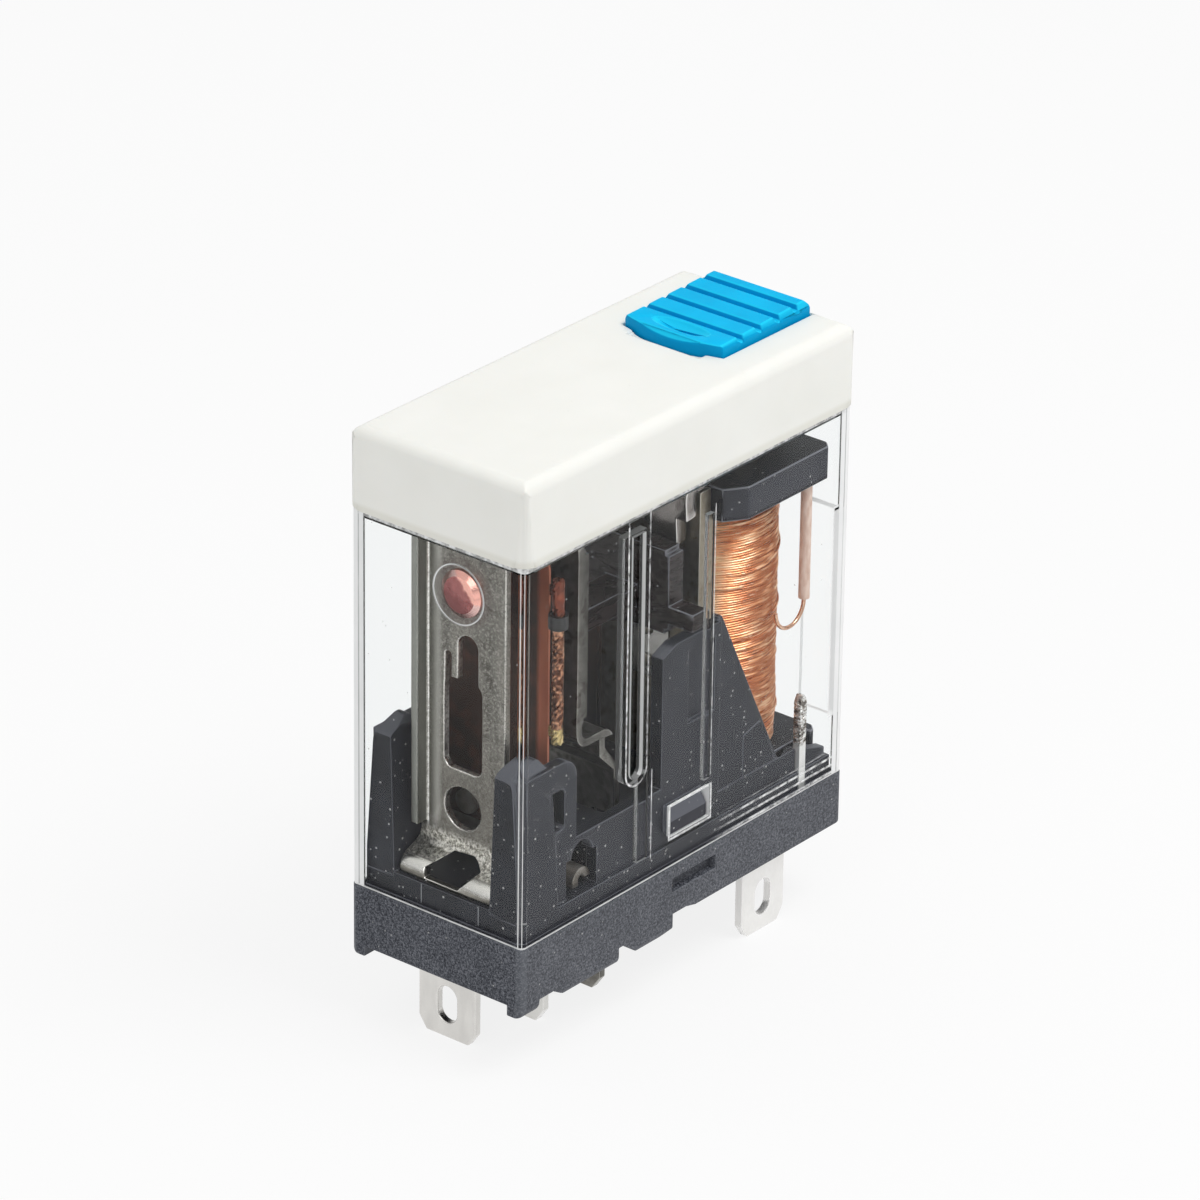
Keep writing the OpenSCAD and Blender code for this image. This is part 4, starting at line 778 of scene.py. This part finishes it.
def wound_coil():
    """The winding: turns of fine wire that lie a little unevenly, a step between layers, and loose turns
    across them."""
    low, high = (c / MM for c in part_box("winding"))
    axis_x, top, foot = (low.x + high.x) / 2, high.z - 0.02, low.z + 0.02
    mean_radius, pitch, end_zone, wave_height, around = 3.84, 0.15, 0.5, 0.022, 120
    step_z, step_depth, step_width = foot + 0.475 * (top - foot), 0.12, 0.07
    loose_turns, loose_radius, loose_rise, end_sink = 26, 0.062, 0.045, 0.10
    turns = int((top - foot) / pitch)
    rng = np.random.default_rng(7)
    angle = np.linspace(0, 2 * math.pi, around, endpoint=False)
    profile = [(-0.5, -0.085), (-0.25, -0.024), (0.0, 0.0), (0.25, -0.024)]
    waves = [(int(rng.integers(1, 4)), rng.uniform(0, FULL_TURN), rng.uniform(0.3, 1.3),
              rng.uniform(0, FULL_TURN)) for _ in range(7)]
    lift = rng.normal(0, 0.021, turns + 1)
    late = rng.uniform(0, FULL_TURN, turns + 1)

    def inside_ends(z):
        """0 at both ends of the coil and 1 past its end zones."""
        return min(1.0, max(0.0, (z - foot) / end_zone), max(0.0, (top - z) / end_zone))

    def surface(z, a, own=0.0, turn=0.0):
        swell = sum(math.sin(rate * (z - foot) + shift) * np.cos(k * a + way)
                    for k, way, rate, shift in waves)
        step = -step_depth * math.exp(-((z - step_z) / step_width) ** 2)
        return mean_radius + (swell * wave_height + own * np.cos(a + turn)) * inside_ends(z) + step

    def slant(z, a):
        return 0.11 * np.sin(a + 0.35 * z) + 0.06 * np.sin(2 * a + 0.9 * z)

    rows = [(foot + (i + 0.5 + part) * (top - foot) / turns, depth, i)
            for i in range(turns) for part, depth in profile]
    rows.append((top, profile[0][1], turns))
    verts = []
    for z, depth, i in rows:
        radius = surface(z, angle, lift[i], late[i]) + depth
        for a, r, dz in zip(angle, radius, slant(z, angle) * inside_ends(z)):
            verts.append((axis_x + r * math.cos(a), r * math.sin(a), z + dz))
    faces = []
    for i in range(len(rows) - 1):
        for j in range(around):
            k = (j + 1) % around
            faces.append((i * around + j, i * around + k, (i + 1) * around + k, (i + 1) * around + j))
    parts = [(verts, faces)]
    for _ in range(loose_turns):
        z, a, sweep = rng.uniform(foot + 0.8, top - 0.8), rng.uniform(0, FULL_TURN), rng.uniform(0.9, 2.6)
        rise = rng.uniform(-0.35, 0.35)
        path = []
        for s in np.linspace(0, 1, 22):
            here, height = a + sweep * s, z + rise * math.sin(math.pi * (s - 0.5))
            sink = end_sink * abs(2 * s - 1) ** 6
            r = float(surface(height, here)) + loose_rise - sink
            height += float(slant(height, here))
            path.append((axis_x + r * math.cos(here), r * math.sin(here), height))
        parts.append(tube(path, loose_radius, 6))
    coil = piece("wound_coil", *together(parts), "housing", enamelled_wire(), "copper_wire", sharp=60)
    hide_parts("winding")


def stranded_shunt():
    """Seven strands twisted together, a bead of varnish above the sleeve, and loops to the spring at each
    end."""
    low, high = (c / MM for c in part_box("shunt_wire"))
    x, y = (low.x + high.x) / 2, low.y + 0.37
    lay, strand_radius, loop_radius, loop_lift = 2.3, 0.15, 0.075, 0.17
    bead_foot, bead_top, bead_rings = 26.5, 28.1, 18
    parts = []
    for k in range(7):
        path = []
        for z in np.linspace(low.z + 0.02, high.z - 0.02, 70):
            a = 2 * math.pi * (k / 6 + (z - low.z) / lay)
            r = 0.0 if k == 6 else 0.20 + 0.012 * math.sin(5 * z + k)
            path.append((x + r * math.cos(a), y + r * math.sin(a), z))
        parts.append(tube(path, strand_radius, 7))
    bead = [(x, y, z) for z in np.linspace(bead_foot, bead_top, bead_rings)]
    girth = [0.12 + 0.25 * math.sin(math.pi * (i + 0.5) / bead_rings) ** 0.6 for i in range(bead_rings)]
    parts.append(tube(bead, girth, 18))
    for z in (low.z + 0.35, high.z - 1.05):
        for k in range(4):
            rise = z + loop_lift * k
            loop = [(x, y + 0.1, rise), (x, y + 0.35, rise + 0.03), (x, high.y - 0.02, rise)]
            parts.append(tube(loop, loop_radius, 8))
    wire = piece("stranded_shunt", *together(parts), frame["nodes"]["shunt_wire"]["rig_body"], shunt_copper,
                 "copper_wire", sharp=50)
    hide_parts("shunt_wire")


def post_wraps():
    """Turns of the winding's wire pulled tight round the near coil post, under the solder."""
    low, high = (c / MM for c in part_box("near_coil_terminal"))
    x, y = high.x - 0.3, (low.y + high.y) / 2
    half_x, half_y, foot_z, height, points, per_turn, squareness = 0.30, 0.25, 10.9, 2.6, 150, 14, 5
    path = []
    for i in range(points):
        a = 2 * math.pi * i / per_turn
        cx, cy = math.cos(a), math.sin(a)
        reach = (abs(cx) ** squareness + abs(cy) ** squareness) ** (-1 / squareness)
        rise = height * i / (points - 1) + 0.05 * math.sin(i)
        path.append((x + half_x * reach * cx, y + half_y * reach * cy, foot_z + rise))
    return tube(path, 0.06, 6)


def tube(path, radius, sides):
    """Points and faces of a round wire along a path of places in millimetres. Its radius is one number, or a
    list with one for each place."""
    verts, faces = [], []
    path = [Vector(p) for p in path]
    normal = None
    for i, p in enumerate(path):
        way = (path[min(i + 1, len(path) - 1)] - path[max(i - 1, 0)]).normalized()
        if normal is None:
            normal = way.orthogonal().normalized()
        normal = (normal - way * normal.dot(way)).normalized()
        other = way.cross(normal)
        r = radius[i] if isinstance(radius, list) else radius
        for s in range(sides):
            a = 2 * math.pi * s / sides
            verts.append(tuple(p + (normal * math.cos(a) + other * math.sin(a)) * r))
    for i in range(len(path) - 1):
        for s in range(sides):
            k = (s + 1) % sides
            faces.append((i * sides + s, i * sides + k, (i + 1) * sides + k, (i + 1) * sides + s))
    faces.append(tuple(range(sides))[::-1])
    faces.append(tuple((len(path) - 1) * sides + s for s in range(sides)))
    return verts, faces


def together(parts):
    """Several sets of points and faces as one."""
    verts, faces = [], []
    for more_verts, more_faces in parts:
        shift = len(verts)
        verts += more_verts
        faces += [tuple(i + shift for i in face) for face in more_faces]
    return verts, faces


photo_camera()
studio()

base_plastic = black_base_plastic()
coil_plastic = black_coil_plastic("black_coil_plastic", dark=(0.006, 0.007, 0.011),
                                  light=(0.019, 0.020, 0.028), rough=0.30)
card_plastic = black_coil_plastic("dark_card_plastic", dark=(0.009, 0.006, 0.006),
                                  light=(0.040, 0.028, 0.027), rough=0.18)
nickel = metal("nickel_plated_sheet", dark=(0.125, 0.119, 0.104), bright=(0.255, 0.245, 0.222), rough=0.36,
               mottle=2.6, streak=(1.0, 0.5, 2.4), pits=0.008, stain=(0.075, 0.068, 0.058),
               edge=(0.80, 0.78, 0.74), extra=plate_marks_and_painted_light)
inner_nickel = metal("inner_plate_nickel", dark=(0.10, 0.095, 0.085), bright=(0.26, 0.25, 0.23), rough=0.32,
                     mottle=2.2, streak=(1.0, 0.5, 2.4), pits=0.006, stain=(0.07, 0.06, 0.05),
                     edge=(0.42, 0.41, 0.38))
tinned = metal("tinned_sheet", dark=(0.68, 0.67, 0.64), bright=(0.84, 0.83, 0.80), rough=0.34, mottle=1.6,
               streak=(2.0, 2.0, 0.3), pits=0.004, edge=(0.95, 0.94, 0.92), metallic=0.8, extra=shade_inside_base)
contact = metal("contact_alloy", dark=(0.24, 0.075, 0.075), bright=(0.46, 0.19, 0.18), rough=0.22, mottle=2.4,
                streak=(1.0, 1.0, 1.0), pits=0.016, edge=(0.90, 0.62, 0.57), extra=rivet_light_and_shade)
spring_copper = metal("spring_copper", dark=(0.17, 0.045, 0.022), bright=(0.40, 0.125, 0.06), rough=0.36,
                      mottle=1.5, streak=(0.5, 3.0, 0.3), pits=0.004, stain=(0.08, 0.025, 0.015),
                      edge=(0.55, 0.22, 0.13), metallic=0.55, extra=spring_painted_shade)
iron = metal("plated_iron", dark=(0.20, 0.175, 0.135), bright=(0.40, 0.355, 0.28), rough=0.42, mottle=2.6,
             streak=(1.0, 2.0, 0.5), pits=0.012, stain=(0.17, 0.13, 0.08), edge=(0.66, 0.63, 0.56))
armature_iron = metal("armature_iron", dark=(0.19, 0.175, 0.165), bright=(0.38, 0.35, 0.335), rough=0.24,
                      mottle=1.6, streak=(1.0, 2.0, 0.5), pits=0.006, stain=(0.13, 0.105, 0.09),
                      edge=(0.93, 0.91, 0.88))
soldered = metal("soldered_terminal", dark=(0.84, 0.83, 0.81), bright=(0.94, 0.93, 0.91), rough=0.34,
                 mottle=1.6, streak=(2.0, 2.0, 0.3), pits=0.006, edge=(0.96, 0.95, 0.94), metallic=0.6,
                 extra=post_solder)
shunt_copper = metal("shunt_copper", dark=(0.035, 0.012, 0.007), bright=(0.48, 0.17, 0.075), rough=0.28,
                     mottle=5.5, streak=(1.0, 1.0, 1.0), pits=0.006, metallic=0.85, extra=shunt_varnish)
steel = metal("spring_steel_strip", dark=(0.30, 0.29, 0.27), bright=(0.52, 0.51, 0.49), rough=0.24,
              mottle=1.8, streak=(1.0, 0.4, 2.0), pits=0.003, edge=(0.75, 0.74, 0.72))
wire_copper = metal("bare_copper_wire", dark=(0.52, 0.26, 0.15), bright=(0.92, 0.62, 0.46), rough=0.26,
                    mottle=3.0, streak=(1.0, 1.0, 1.0), pits=0.004)
dark_tube = sleeving("dark_sleeve", dark=(0.012, 0.012, 0.013), bright=(0.03, 0.029, 0.03), rough=0.4)
pale_tube = sleeving("pale_sleeve", dark=(0.70, 0.46, 0.36), bright=(0.92, 0.72, 0.62), rough=0.45)

eased("base", 0.07, base_plastic, "black_base")
eased("cap", 0.12, white_cap_plastic(), "white_cap", steps=3)
eased("test_button", 0.10, blue_button_plastic(), "blue_button", steps=3)
eased("outer_terminal", 0.09, nickel, "outer_contact_plate", steps=3)
eased("inner_terminal", 0.05, inner_nickel, "inner_contact_plate")
eased("middle_terminal", 0.05, tinned, "middle_blade")
eased("bobbin", 0.10, coil_plastic, "coil_bobbin", steps=3)
eased("push_card", 0.08, card_plastic, "card")
eased("armature", 0.08, armature_iron, "armature_plate")
eased("yoke", 0.10, iron, "yoke_bracket")
eased("near_coil_terminal", 0.05, soldered, "near_coil_blade", more=post_wraps())
eased("far_coil_terminal", 0.05, soldered, "far_coil_blade")
dressed("clear_case", clear_case_plastic())
dressed("outer_contact", contact)
dressed("inner_contact", contact)
dressed("moving_contact", contact)
dressed("contact_spring", spring_copper)
dressed("spring_rivets", tinned)
dressed("shunt_sleeve", dark_tube)
dressed("hinge_spring", steel)
dressed("core", iron)
dressed("near_coil_lead", wire_copper)
dressed("far_coil_lead", wire_copper)
dressed("near_lead_sleeve", pale_tube)
dressed("far_lead_sleeve", pale_tube)
wound_coil()
stranded_shunt()

bpy.context.view_layer.update()
